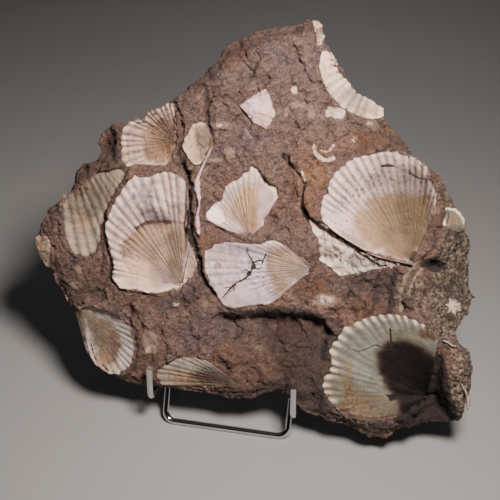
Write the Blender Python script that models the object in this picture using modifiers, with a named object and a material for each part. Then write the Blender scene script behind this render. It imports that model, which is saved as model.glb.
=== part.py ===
"""Fossil scallops cemented in a slab of rock that leans on a bent wire stand.

Lengths below are millimetres, and MM turns them into metres.  The table is z = 0, x runs along the
stand's base bar, y runs away from the viewer, and the hooks of the stand stand in the plane y = 0
until the last step puts the origin under the middle of the whole object.

The slab's face is a leaning plane.  A place on it is (u, v): u along the base bar and v up the face.
Relief is raised or sunk along lines that meet at EYE, a point in front of the slab.
"""

import math
from dataclasses import dataclass

import bmesh
import bpy
import numpy as np
from mathutils import Vector, noise

MM = 0.001
COLLECTION_NAME = "fossil_scallop_slab"
CUTTER_COLLECTION_NAME = "cutters"

# Face plane of the slab
FACE_LEAN = math.radians(18.0)
FACE_FOOT = Vector((0.0, 3.0, 30.0))
FACE_ACROSS = Vector((1.0, 0.0, 0.0))
FACE_UP = Vector((0.0, math.sin(FACE_LEAN), math.cos(FACE_LEAN)))
FACE_OUT = FACE_ACROSS.cross(FACE_UP)
EYE = Vector((132.0, -537.0, 485.0))

# Slab
SLAB_VOXEL = 4.5
SLAB_TRIANGLES = 2200
SLAB_WIDEST_DEPTH = 8.0
SLAB_THICKNESS = 34.0
LOWER_THINNING = 8.0
STAND_DEPTH = 17.2
STAND_DEPTH_SLOPE = 0.14
FRONT_RIM_REACH = 9.0
FRONT_ROUNDING = 4.0
FRONT_RIM_LEAN = 2.2
BACK_RIM_REACH = 26.0
BACK_ROUNDING = 15.0
THINNEST_RIM = 10.0
WIDEST_BELOW_FRONT = 4.0
FLANK_TAPER = 0.34
FLANK_TAPER_REACH = 45.0
FLANK_DOWN_LEFT = (-0.64, -0.77)
FLANK_LEDGE = 2.4
SEAT_WIDTH = 8.0
SEAT_HEIGHT = 12.0
SEAT_DROP = 2.4
BED_RISE = 1.0
BED_EDGE = 1.5
BED_REACH = 7.0

# Shells
SHELL_THICKNESS = 2.6
POCKET_GAP = 0.6
POCKET_MARGIN = 0.95
POCKET_TOP = 26.0
CHIP_POCKET_MARGIN = 0.57
BLADE_POCKET_MARGIN = 0.475
CHIP_MIDDLE_RING = 0.62
CHIP_MIDDLE_RISE = 0.35
DOME_ROOM = 0.15
STEEP_ROOM = 0.08
STEEP_RISE = 4.0
MARGIN_SCALLOP = 0.5
TOP_RINGS = (0.0, 0.35, 0.7, 1.0)
BASE_RINGS = (0.0, 0.5, 1.0)

# Stand
WIRE_RADIUS = 2.0
WIRE_GAP = 0.35
HOOK_SPACING = 88.0
HOOK_BEND_HEIGHT = 28.0
HOOK_TIP_HEIGHT = 50.0
HOOK_BEND_RADIUS = 5.0
REAR_BAR_Y = 105.0
REAR_CORNER_RADIUS = 9.0
BASE_BAR_Y = 11.0
BASE_HALF_WIDTH = 39.0
BASE_CORNER_RADIUS = 6.0
BACK_FRAME_TOP = 110.0
BACK_FRAME_LEAN = math.radians(26.0)
FOOT_FLAT = 0.7

# Slab outline on the face plane, clockwise from the peak
SLAB_OUTLINE = (
    (40, 230), (43, 225), (47, 218), (52, 211), (58, 203), (66, 192), (73, 190), (81, 184),
    (84, 178), (93, 169), (101, 160), (108, 155), (115, 152), (120, 145), (128, 130), (136, 118),
    (138, 108), (139, 91), (143, 83), (141, 73), (135, 62), (137, 54), (144, 50), (147, 41),
    (147, 28), (144, 8), (135, 4), (125, 2), (117, -1), (109, -4), (100, -12), (89, -13),
    (83, -9), (75, -6), (66, -6), (58, -3), (51, -2), (46, 1), (40, 6), (34, 11),
    (26, 9), (18, 5), (8, 3), (-14, 3), (-39, 2), (-52, 1), (-64, 3), (-74, 8),
    (-83, 15), (-86, 24), (-87, 34), (-90, 39), (-95, 44), (-102, 49), (-106, 57), (-110, 61),
    (-111, 69), (-117, 76), (-121, 88), (-119, 98), (-114, 108), (-104, 116), (-100, 123), (-98, 131),
    (-94, 135), (-88, 137), (-83, 139), (-82, 145), (-84, 148), (-80, 156), (-74, 162), (-66, 163),
    (-55, 170), (-47, 174), (-41, 180), (-35, 185), (-23, 194), (-15, 201), (-8, 212), (3, 217),
    (14, 222), (25, 225), (34, 230),
)

# Ledge across the lower middle: the face below this line stands back
LEDGE_LINE = ((-14, 54), (0, 57), (15, 59), (30, 61), (45, 62), (58, 60), (66, 50))
LEDGE_DEPTH = 6.0
LEDGE_REACH = 34.0
LEDGE_LEFT_END = (-16.0, 0.0)
LEDGE_RIGHT_END = (62.0, 72.0)
LEDGE_STEP = (0.0, 4.0)
LEDGE_RISE_START = 6.0

# Hollow right of the deep valve, open through the lower edge of the slab
HOLLOW_OUTLINE = (
    (108, 46), (116, 55), (124, 58), (128, 50), (129, 38), (131, 28), (136, 19), (144, 10),
    (142, -4), (125, -10), (112, -4), (106, 8), (104, 24),
)
HOLLOW_DEPTH = 27.0
HOLLOW_WALL = 9.0
HOLLOW_LIP_DEPTH = 12.0
HOLLOW_LIP_REACH = 18.0
LOBE = (112, 24, 42)
LOBE_EXTRA = 15.0

# Broad form of the face: a low crown about a middle point, and its reach across and up
FACE_CROWN = 2.0
FACE_CROWN_FALL = 3.0
FACE_CROWN_MIDDLE = (10.0, 105.0)
FACE_CROWN_REACH = (130.0, 125.0)

# Waves of the rock: height, length, seed.  Broken faces: size, step, tilt, seed
FACE_WAVES = ((1.5, 21.0, 3.0), (0.8, 8.0, 9.0))
FACE_BREAKS = (15.0, 0.8, 0.07, 5.0)
BACK_WAVES = ((2.6, 34.0, 17.0), (1.2, 12.0, 23.0))
BACK_BREAKS = (26.0, 2.0, 0.11, 41.0)
STAND_WAVE = (0.7, 16.0, 29.0)
NEAR_STAND_ACROSS = (47.0, 60.0)
NEAR_STAND_UP = (100.0, 118.0)
FLANK_WAVE_LENGTH = 24.0
FLANK_WAVE_DEPTH = 6.0
FLANK_BULGE = 0.6
FLANK_EDGE = 3.0

# Lumps and dips of the face: u, v, half width across, half width up, height
FACE_LUMPS = (
    (44, 135, 9, 17, 4.0), (60, 160, 18, 6, 3.5), (92, 168, 14, 5, 3.0), (36, 100, 14, 8, 2.5),
    (0, 32, 12, 8, 3.5), (26, 46, 16, 8, 2.0), (48, 30, 12, 14, 3.0), (-46, 46, 14, 10, 2.5),
    (-88, 62, 12, 10, 2.0), (-52, 30, 5, 8, 2.0), (106, 76, 6, 14, 3.0), (88, 80, 12, 8, -5.0),
    (-2, 150, 14, 10, 2.0), (-12, 190, 14, 9, 2.5), (18, 206, 14, 8, 2.0), (30, 168, 12, 9, 1.5),
    (30, 134, 5, 10, -2.5), (22, 113, 8, 6, -2.0), (-8, 112, 10, 4, -1.5), (-20, 178, 5, 14, -3.0),
    (116, 98, 6, 4, -8.0), (-90, 128, 12, 8, -4.0), (-79, 150, 7, 9, -7.0), (-12, 55, 8, 6, 1.5),
    (136, 40, 8, 16, 3.0), (141, 20, 6, 10, 2.0), (130, 76, 8, 8, 2.5), (70, 10, 8, 10, 1.0),
    (-112, 78, 8, 10, 1.5), (-30, 178, 8, 5, 2.0), (70, 72, 12, 5, 1.5), (10, 165, 10, 5, -1.5),
)
RIGHT_FALL_START = 113.0
RIGHT_FALL = 0.85
RIGHT_FALL_UP = (62.0, 88.0)

# Clefts: name, path along the face, width, depth
CLEFTS = (
    ("cleft_center", ((-32, 142), (-29, 137), (-27, 130), (-27, 122), (-25.5, 112), (-24.5, 103),
                      (-22, 95), (-18.5, 87), (-18, 80), (-15, 73), (-9, 66)), 3.2, 6.0),
    ("cleft_right", ((26, 152), (31, 147), (36, 143), (39, 138), (39, 125), (43, 118),
                     (48, 113)), 2.6, 4.5),
    ("cleft_lower_left", ((-66, 48.5), (-60, 43), (-56.5, 36), (-54, 28), (-54, 19), (-57, 11)), 3.2, 5.0),
)


@dataclass
class Valve:
    """One scallop valve: a fan of ribs about its umbo, with its margin as hand-placed points."""

    name: str
    umbo: tuple
    margin: tuple
    fan: tuple
    ribs: int
    umbo_height: float
    rim_height: float
    dish: float
    rib_height: float
    color: tuple
    inner: tuple = ()
    bowl: float = 1.0


@dataclass
class Chip:
    """One small flat or cupped piece of shell: an outline about a middle point."""

    name: str
    outline: tuple
    rim_height: float
    middle_height: float
    color: tuple


@dataclass
class Blade:
    """One shell seen edge-on: a thin upright wall along a path, with a width at each point."""

    name: str
    path: tuple
    widths: tuple
    height: float
    depth: float
    color: tuple


CHALK = (0.76, 0.69, 0.60)
CREAM = (0.72, 0.61, 0.49)
BUFF = (0.52, 0.43, 0.34)
ROCK = (0.27, 0.19, 0.15)

VALVES = (
    Valve(
        "scallop_large_right", (105, 99),
        ((115, 130), (114, 140), (112, 144), (109, 148), (108, 154), (102, 158), (97, 160), (93, 161),
         (86, 161), (80, 160), (74, 158), (69, 156), (64, 154), (62, 151), (58, 148), (55, 143),
         (53, 139), (54, 134), (51, 132), (50, 122), (52, 117), (56, 114), (62, 110), (70, 106),
         (77, 103), (86, 101), (90, 100.5)),
        (72, 162), 22, 1.0, 3.6, 5.0, 0.8, CHALK,
    ),
    Valve(
        "scallop_under_right", (103, 98),
        ((45, 118), (44, 116), (47, 110), (50, 106), (50, 103), (52, 98), (51, 94), (56, 92),
         (60, 89), (64, 86), (69, 87)),
        (161, 197), 7, -4.8, -2.2, 0.0, 0.5, CHALK,
        ((99, 99.4), (91, 97), (70, 92.7), (69, 88)),
    ),
    Valve(
        "scallop_center_left", (-28, 69),
        ((-24, 74), (-21, 79), (-20, 84), (-22, 89), (-25, 94), (-27, 101), (-28.5, 120), (-29.5, 132),
         (-32, 134), (-36, 136), (-41, 137), (-45, 136), (-49, 134), (-54, 132), (-60, 133), (-64, 129),
         (-68, 123), (-71, 118), (-74, 112), (-76, 105), (-78, 100), (-77, 96), (-75, 90), (-72, 81),
         (-71, 75), (-72, 69), (-67, 63), (-54, 63), (-50, 62), (-42, 63), (-33, 66)),
        (92, 186), 17, 1.0, 4.2, 4.5, 0.8, CREAM,
    ),
    Valve(
        "scallop_far_left", (-103, 137),
        ((-107, 110), (-106, 95), (-102, 86), (-96, 80), (-91, 79), (-86, 80), (-82, 85), (-79.5, 92),
         (-79.5, 99), (-78, 106), (-75.5, 113), (-72, 121), (-73, 128)),
        (-98, -18), 13, -7.0, -2.0, -2.0, 0.7, BUFF,
        ((-105, 122), (-98, 122), (-90, 128), (-86, 132)),
    ),
    Valve(
        "scallop_upper_left", (-36, 154),
        ((-36, 162), (-37, 167), (-38, 173), (-40, 176), (-42, 177), (-46, 174), (-50, 172), (-55, 170),
         (-56, 166), (-62, 165), (-66, 163), (-69, 158), (-70, 153), (-69, 147), (-69, 141), (-65, 137),
         (-58, 139.5), (-51, 139.5), (-42, 140.5), (-39, 143.5)),
        (98, 213), 13, -2.5, 1.4, 3.0, 0.8, CREAM,
    ),
    Valve(
        "scallop_center", (10, 103),
        ((18, 111), (18, 115), (21, 120), (24.5, 125), (25, 128), (24, 134), (20, 136), (17, 138),
         (14, 142), (12, 144), (8, 145), (7, 142), (4, 141), (2, 137), (-2, 135), (-6, 132),
         (-8, 123), (-12, 121), (-17, 114.5), (-16, 111), (-11, 108.5), (-3, 105.5)),
        (57, 156), 18, 0.6, 1.4, -1.6, 0.45, CHALK,
    ),
    Valve(
        "scallop_lower_center", (47, 88),
        ((42, 93.4), (36, 100), (31, 101), (25, 103), (20, 102), (18, 100), (6, 99), (-2, 99),
         (-10, 97), (-12, 94), (-16, 92), (-16, 85), (-15, 79), (-12.5, 75), (-12, 72), (-8, 68),
         (-5, 63), (-2, 60), (3, 59), (10, 61), (17, 63), (24, 64), (28, 67), (31, 69.5)),
        (133, 228), 20, 0.8, 2.2, -2.4, 0.6, CHALK,
    ),
    Valve(
        "scallop_top_right_edge", (78, 216),
        ((43, 213), (42.5, 205), (45, 197), (50, 189.5), (56, 183.5), (63, 180), (71, 178), (77, 178),
         (81, 180)),
        (185, 274), 10, -14.0, 1.2, -1.5, 0.9, CHALK,
        ((47, 214), (49, 211), (52, 207), (55, 201.5), (60, 198), (65, 192), (71, 190), (75, 188),
         (79, 185)),
    ),
    Valve(
        "scallop_hollow_lower_right", (121, 20),
        ((124, 57), (120, 60), (115, 63.5), (111, 65), (105, 67), (100, 67), (93, 67), (85, 64.5),
         (81, 63), (77, 60), (73, 58), (69, 55), (66, 48), (63.5, 45), (62, 40), (64, 34),
         (63, 27), (60, 23), (60, 17), (62, 12), (67, 7), (72, 3), (80, 0), (90, 0),
         (100, 3), (107, 6)),
        (86, 204), 21, -26.0, 1.8, 0.0, 0.9, CREAM, (), 1.5,
    ),
    Valve(
        "scallop_lower_left", (-93, 46),
        ((-84, 17), (-80, 12), (-76, 10), (-72, 7.5), (-66, 8), (-61, 12), (-58, 16), (-57, 20),
         (-56, 25), (-57, 31), (-59, 35), (-60, 39), (-62, 42), (-65, 44), (-70, 46.5), (-80, 48.5),
         (-86, 50)),
        (-72, 0), 14, -1.0, 2.6, 5.0, 0.6, CREAM,
    ),
    Valve(
        "scallop_bottom_edge", (10, 12),
        ((-7, 22.5), (-12, 24.8), (-16, 25.3), (-21, 25.3), (-28, 24), (-33, 21.5), (-37, 18), (-41, 14),
         (-41.5, 9.5), (-38, 5), (-14, 7.5)),
        (149, 189), 8, -1.0, 0.0, -3.0, 0.6, CREAM,
    ),
)

CHIPS = (
    Chip("small_cup_valve",
         ((-33, 152), (-32, 157), (-29, 161), (-29, 165), (-25, 167), (-20, 168), (-18, 164), (-16, 160),
          (-15, 156), (-16, 152), (-18, 148), (-20, 144), (-24, 142), (-27, 143), (-30, 147)),
         2.4, -0.8, CREAM),
    Chip("shell_fragment_top",
         ((-1, 180), (3, 183), (10, 186), (14, 190), (16, 190), (18, 186), (19, 181), (21, 176),
          (19, 171), (17, 166), (14, 168), (9, 169), (7, 171), (3, 175)),
         1.0, 1.9, CHALK),
    Chip("shell_tip_fragment",
         ((37, 229), (40, 229.5), (43, 227), (43, 224), (45, 221), (43, 216), (41, 215), (39, 222)),
         0.8, 1.4, CHALK),
    Chip("shell_left_edge",
         ((-121, 88), (-119, 91), (-113, 90), (-111, 86), (-109, 80), (-108.5, 74), (-110, 70.5),
          (-114, 71), (-118, 77), (-120.5, 82)),
         0.4, 1.4, BUFF),
    Chip("shell_right_edge",
         ((117.5, 131), (122, 132.5), (127, 129.5), (131, 124), (130, 120), (126, 118.5), (121, 120),
          (118, 125)),
         -1.0, 0.0, CHALK),
    Chip("shell_right_chip",
         ((126.5, 75), (128, 79), (131, 80), (134, 77.5), (133, 74), (130, 72)),
         0.8, 2.4, CHALK),
)

BLADES = (
    Blade("shell_blade",
          ((-13.4, 154), (-16, 146), (-19.5, 140), (-22.5, 135), (-23.3, 128), (-22, 121), (-21, 116),
           (-21.6, 110), (-21.6, 105), (-19.5, 100)),
          (1.2, 1.4, 1.6, 3.0, 4.2, 3.2, 1.8, 2.6, 2.0, 1.0), 3.4, 4.0, CHALK),
    Blade("shell_rim_lower_right",
          ((139, 31), (142.5, 26), (144.5, 21), (145, 15)),
          (1.0, 1.6, 2.0, 1.2), 2.6, 4.0, CHALK),
    Blade("shell_rim_right",
          ((126, 55), (129, 54.4), (132, 52.6), (134.5, 52.4)),
          (0.9, 1.4, 1.6, 1.0), 2.8, 3.5, CHALK),
)


def clear_scene():
    """Remove every object of the start-up scene."""
    for old in list(bpy.data.objects):
        bpy.data.objects.remove(old, do_unlink=True)


def new_collection(name):
    """Return a new collection linked to the scene."""
    collection = bpy.data.collections.new(name)
    bpy.context.scene.collection.children.link(collection)
    return collection


def material(name, color, roughness, metallic=0.0):
    """Return a Principled material with one colour, roughness and metallic value."""
    made = bpy.data.materials.new(name)
    made.use_nodes = True
    shader = made.node_tree.nodes["Principled BSDF"]
    shader.inputs["Base Color"].default_value = (*color, 1.0)
    shader.inputs["Roughness"].default_value = roughness
    shader.inputs["Metallic"].default_value = metallic
    made.diffuse_color = (*color, 1.0)
    return made


def object_from_bmesh(name, mesh_data, collection, finish=None):
    """Make an object of a bmesh with its faces pointing out."""
    bmesh.ops.recalc_face_normals(mesh_data, faces=mesh_data.faces)
    mesh = bpy.data.meshes.new(name)
    mesh_data.to_mesh(mesh)
    mesh_data.free()
    made = bpy.data.objects.new(name, mesh)
    collection.objects.link(made)
    if finish:
        mesh.materials.append(finish)
    return made


def mark_cutter(cutter):
    """Show a cutter as wires only."""
    cutter.hide_render = True
    cutter.display_type = "WIRE"


def face_point(u, v, height=0.0):
    """Return the place of (u, v) on the face, raised by height towards EYE, in millimetres."""
    foot = FACE_FOOT + FACE_ACROSS * u + FACE_UP * v
    return foot + (EYE - foot).normalized() * height


def smooth_step(value, low, high):
    """Rise from 0 at low to 1 at high."""
    share = np.clip((value - low) / (high - low), 0.0, 1.0)
    return share * share * (3.0 - 2.0 * share)


def distance_to_line(points, line):
    """Return each point's distance to an open line of points."""
    nearest = np.full(len(points), 1e9)
    for start, end in zip(np.array(line[:-1], float), np.array(line[1:], float)):
        run = end - start
        share = np.clip(((points - start) @ run) / (run @ run), 0.0, 1.0)
        foot = start + share[:, None] * run
        nearest = np.minimum(nearest, np.linalg.norm(points - foot, axis=1))
    return nearest


def inside_outline(points, outline):
    """Return which points are inside a closed outline."""
    inside = np.zeros(len(points), bool)
    corners = np.array(outline, float)
    for start, end in zip(corners, np.roll(corners, -1, axis=0)):
        spans = (start[1] > points[:, 1]) != (end[1] > points[:, 1])
        rise = end[1] - start[1] if end[1] != start[1] else 1e-9
        crossing = start[0] + (points[:, 1] - start[1]) * (end[0] - start[0]) / rise
        inside ^= spans & (points[:, 0] < crossing)
    return inside


def depth_inside(points, outline):
    """Return the distance to a closed outline, positive inside it."""
    closed = tuple(outline) + (outline[0],)
    distance = distance_to_line(points, closed)
    return np.where(inside_outline(points, outline), distance, -distance)


def inward_direction(points, outline, step=1.0):
    """Return the unit direction in which the depth inside an outline grows fastest."""
    across = depth_inside(points + (step, 0.0), outline) - depth_inside(points - (step, 0.0), outline)
    upward = depth_inside(points + (0.0, step), outline) - depth_inside(points - (0.0, step), outline)
    direction = np.stack((across, upward), axis=1)
    return direction / np.maximum(np.linalg.norm(direction, axis=1), 1e-6)[:, None]


def roughness_field(points, scale, seed):
    """Return smooth seeded noise from -1 to 1 at each point of the face."""
    return np.array([noise.noise(Vector((u / scale, v / scale, seed))) for u, v in points])


def waves(points, sizes):
    """Return the sum of smooth waves, each with a height, a length and a seed."""
    return sum(height * roughness_field(points, length, seed) for height, length, seed in sizes)


def broken_faces(points, size, step, tilt, seed):
    """Return heights of flat broken faces about size wide, each stepped and tilted by a seeded amount."""
    heights = []
    for u, v in points:
        place = Vector((u / size, v / size, seed))
        center = noise.voronoi(place)[1][0]
        turn = noise.cell_vector(center * 9.7) * 2.0 - Vector((1.0, 1.0, 1.0))
        away = (place - center) * size
        heights.append(step * turn.z + tilt * (turn.x * away.x + turn.y * away.y))
    return np.array(heights)


def face_relief(points):
    """Return the height of the rock face at each (u, v)."""
    u, v = points[:, 0], points[:, 1]
    across = (u - FACE_CROWN_MIDDLE[0]) / FACE_CROWN_REACH[0]
    upward = (v - FACE_CROWN_MIDDLE[1]) / FACE_CROWN_REACH[1]
    height = FACE_CROWN - FACE_CROWN_FALL * (across ** 2 + upward ** 2)
    for lump_u, lump_v, half_across, half_up, lump_height in FACE_LUMPS:
        spread = ((u - lump_u) / half_across) ** 2 + ((v - lump_v) / half_up) ** 2
        height += lump_height * np.exp(-spread)
    height -= RIGHT_FALL * np.maximum(u - RIGHT_FALL_START, 0.0) * smooth_step(v, *RIGHT_FALL_UP)
    ledge_v = np.interp(u, [p[0] for p in LEDGE_LINE], [p[1] for p in LEDGE_LINE])
    ends = smooth_step(u, *LEDGE_LEFT_END) * (1.0 - smooth_step(u, *LEDGE_RIGHT_END))
    under = ledge_v - v
    below = smooth_step(under, *LEDGE_STEP) * (1.0 - smooth_step(under, LEDGE_RISE_START, LEDGE_REACH))
    height -= LEDGE_DEPTH * below * ends
    height += waves(points, FACE_WAVES)
    height += broken_faces(points, *FACE_BREAKS)
    hollow = smooth_step(depth_inside(points, HOLLOW_OUTLINE), 0.0, HOLLOW_WALL)
    from_lip = smooth_step(depth_inside(points, SLAB_OUTLINE), 0.0, HOLLOW_LIP_REACH)
    floor = HOLLOW_LIP_DEPTH + (HOLLOW_DEPTH - HOLLOW_LIP_DEPTH) * from_lip
    return height * (1.0 - hollow) - floor * hollow


def lobe_share(points):
    """Return how much each (u, v) belongs to the thick lower right lobe, from 0 to 1."""
    away = np.hypot(points[:, 0] - LOBE[0], points[:, 1] - LOBE[1])
    return np.exp(-((away / LOBE[2]) ** 2))


def rock_height(points, forms):
    """Return the height of the rock's front at each (u, v), filled up under and round the valves."""
    depth_in = np.maximum(depth_inside(points, SLAB_OUTLINE), 0.0)
    rim = 1.0 - smooth_step(depth_in, 0.0, FRONT_RIM_REACH)
    height = face_relief(points) - FRONT_ROUNDING * rim
    for form in forms:
        outline = [form.place(angle, share) for angle, share in form.boundary()]
        bed = 1.0 - smooth_step(-depth_inside(points, outline), BED_EDGE, BED_REACH)
        for index in np.flatnonzero(bed):
            rise = form.bed_height(points[index]) - height[index]
            height[index] += max(rise, 0.0) * bed[index]
    return height


def slab_depth(points):
    """Return the thickness of the slab behind the face plane at each (u, v)."""
    u, v = points[:, 0], points[:, 1]
    free = SLAB_THICKNESS + LOBE_EXTRA * lobe_share(points)
    free -= LOWER_THINNING * smooth_step(40.0 - v, 0.0, 45.0)
    free += waves(points, BACK_WAVES)
    free += broken_faces(points, *BACK_BREAKS)
    on_stand = STAND_DEPTH + STAND_DEPTH_SLOPE * np.minimum(v, 100.0)
    on_stand += waves(points, (STAND_WAVE,))
    near_stand = 1.0 - smooth_step(np.abs(u), *NEAR_STAND_ACROSS)
    near_stand *= 1.0 - smooth_step(v, *NEAR_STAND_UP)
    return free * (1.0 - near_stand) + np.minimum(on_stand, free) * near_stand


def seat_share(points):
    """Return how much each (u, v) belongs to the two places that rest in the hooks, from 0 to 1."""
    across = (np.abs(points[:, 0]) - HOOK_SPACING / 2) / SEAT_WIDTH
    return np.exp(-across ** 2 - (points[:, 1] / SEAT_HEIGHT) ** 2)


def slab_places(sheet_points, layer, forms):
    """Return the places of slab vertices from their (u, v) and their share from front 0 to back 1."""
    depth_in = np.maximum(depth_inside(sheet_points, SLAB_OUTLINE), 0.0)
    inward = inward_direction(sheet_points, SLAB_OUTLINE)
    rim = 1.0 - smooth_step(depth_in, 0.0, FRONT_RIM_REACH)
    front_height = rock_height(sheet_points, forms)
    back_rim = 1.0 - smooth_step(depth_in, 0.0, BACK_RIM_REACH)
    seat = seat_share(sheet_points)
    rounding = BACK_ROUNDING * (1.0 - 0.5 * lobe_share(sheet_points)) * (1.0 - seat) * back_rim ** 1.5
    thinnest = THINNEST_RIM - np.minimum(front_height, 0.0)
    back_depth = np.maximum(slab_depth(sheet_points) - rounding, thinnest)
    widest_depth = np.maximum(SLAB_WIDEST_DEPTH, WIDEST_BELOW_FRONT - front_height)
    facing = np.clip(inward @ np.array(FLANK_DOWN_LEFT), -1.0, 1.0)
    near_rim = 1.0 - smooth_step(depth_in, 0.0, FLANK_TAPER_REACH)
    taper = FLANK_TAPER * (0.55 + 0.45 * facing) * back_depth * near_rim * (1.0 - seat)
    places = []
    for index, (u, v) in enumerate(sheet_points):
        share = layer[index]
        belly = 1.0 - abs(2.0 * share - 1.0)
        edge = math.exp(-depth_in[index] / FLANK_EDGE)
        level = share * back_depth[index] / FLANK_WAVE_DEPTH
        ledge = noise.noise(Vector((u / FLANK_WAVE_LENGTH, v / FLANK_WAVE_LENGTH, level)))
        front_in = inward[index] * FRONT_RIM_LEAN * rim[index]
        back_in = inward[index] * taper[index]
        ledge_in = inward[index] * FLANK_LEDGE * (ledge + 0.5) * belly * edge
        front = face_point(u + front_in[0], v + front_in[1], front_height[index])
        widest = face_point(u + ledge_in[0], v + ledge_in[1], -widest_depth[index])
        back = face_point(u + back_in[0], v + back_in[1], 0.0) - FACE_OUT * back_depth[index]
        back += FACE_ACROSS * ledge_in[0] + FACE_UP * (ledge_in[1] - SEAT_DROP * seat[index])
        straight = front.lerp(back, share)
        places.append(straight.lerp(widest, FLANK_BULGE * belly * edge))
    return places


def slab_blank(collection):
    """Return the slab's outline as an even, closed mesh sheet with thickness along z."""
    curve = bpy.data.curves.new("slab_outline", "CURVE")
    curve.dimensions = "2D"
    curve.fill_mode = "BOTH"
    curve.extrude = SLAB_THICKNESS / 2
    spline = curve.splines.new("POLY")
    spline.points.add(len(SLAB_OUTLINE) - 1)
    for point, (u, v) in zip(spline.points, SLAB_OUTLINE):
        point.co = (u, v, 0.0, 1.0)
    spline.use_cyclic_u = True
    outline = bpy.data.objects.new("slab_outline", curve)
    collection.objects.link(outline)
    blank = mesh_of(outline, "matrix_slab", collection)
    remesh = blank.modifiers.new("even", "REMESH")
    remesh.mode = "VOXEL"
    remesh.voxel_size = SLAB_VOXEL
    apply_modifiers(blank)
    return blank


def mesh_of(source, name, collection):
    """Replace a curve object by a mesh object of the same shape with welded caps."""
    bpy.context.view_layer.update()
    graph = bpy.context.evaluated_depsgraph_get()
    mesh = bpy.data.meshes.new_from_object(source.evaluated_get(graph))
    welded = bmesh.new()
    welded.from_mesh(mesh)
    bmesh.ops.remove_doubles(welded, verts=welded.verts, dist=1e-7)
    welded.to_mesh(mesh)
    welded.free()
    made = bpy.data.objects.new(name, mesh)
    made.matrix_world = source.matrix_world
    collection.objects.link(made)
    bpy.data.objects.remove(source, do_unlink=True)
    return made


def apply_modifiers(target):
    """Turn an object's modifiers into its mesh."""
    bpy.context.view_layer.update()
    graph = bpy.context.evaluated_depsgraph_get()
    mesh = bpy.data.meshes.new_from_object(target.evaluated_get(graph))
    target.modifiers.clear()
    target.data = mesh


def make_slab(forms, collection):
    """Return the slab before its pockets are cut, in metres."""
    slab = slab_blank(collection)
    coordinates = np.array([tuple(vertex.co) for vertex in slab.data.vertices])
    layer = 0.5 - coordinates[:, 2] / SLAB_THICKNESS
    layer = np.clip(layer, 0.0, 1.0)
    places = slab_places(coordinates[:, :2], layer, forms)
    for vertex, place in zip(slab.data.vertices, places):
        vertex.co = place * MM
    decimate = slab.modifiers.new("facets", "DECIMATE")
    triangles = sum(len(face.vertices) - 2 for face in slab.data.polygons)
    decimate.ratio = SLAB_TRIANGLES / triangles
    apply_modifiers(slab)
    return slab


def stitch(mesh_data, first, second):
    """Join two rows of (parameter, vertex) with triangles."""
    i = j = 0
    while i < len(first) - 1 or j < len(second) - 1:
        on_first = i < len(first) - 1
        if on_first and (j == len(second) - 1 or first[i + 1][0] <= second[j + 1][0] + 1e-9):
            corners = (first[i][1], first[i + 1][1], second[j][1])
            i += 1
        else:
            corners = (first[i][1], second[j + 1][1], second[j][1])
            j += 1
        if len(set(corners)) == 3:
            mesh_data.faces.new(corners)


def polar(points, center):
    """Return unwrapped angles and radii of points about a center, sorted by angle."""
    offsets = np.array(points, float) - center
    angles = np.unwrap(np.arctan2(offsets[:, 1], offsets[:, 0]))
    radii = np.linalg.norm(offsets, axis=1)
    order = np.argsort(angles, kind="stable")
    return angles[order], radii[order]


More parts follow.
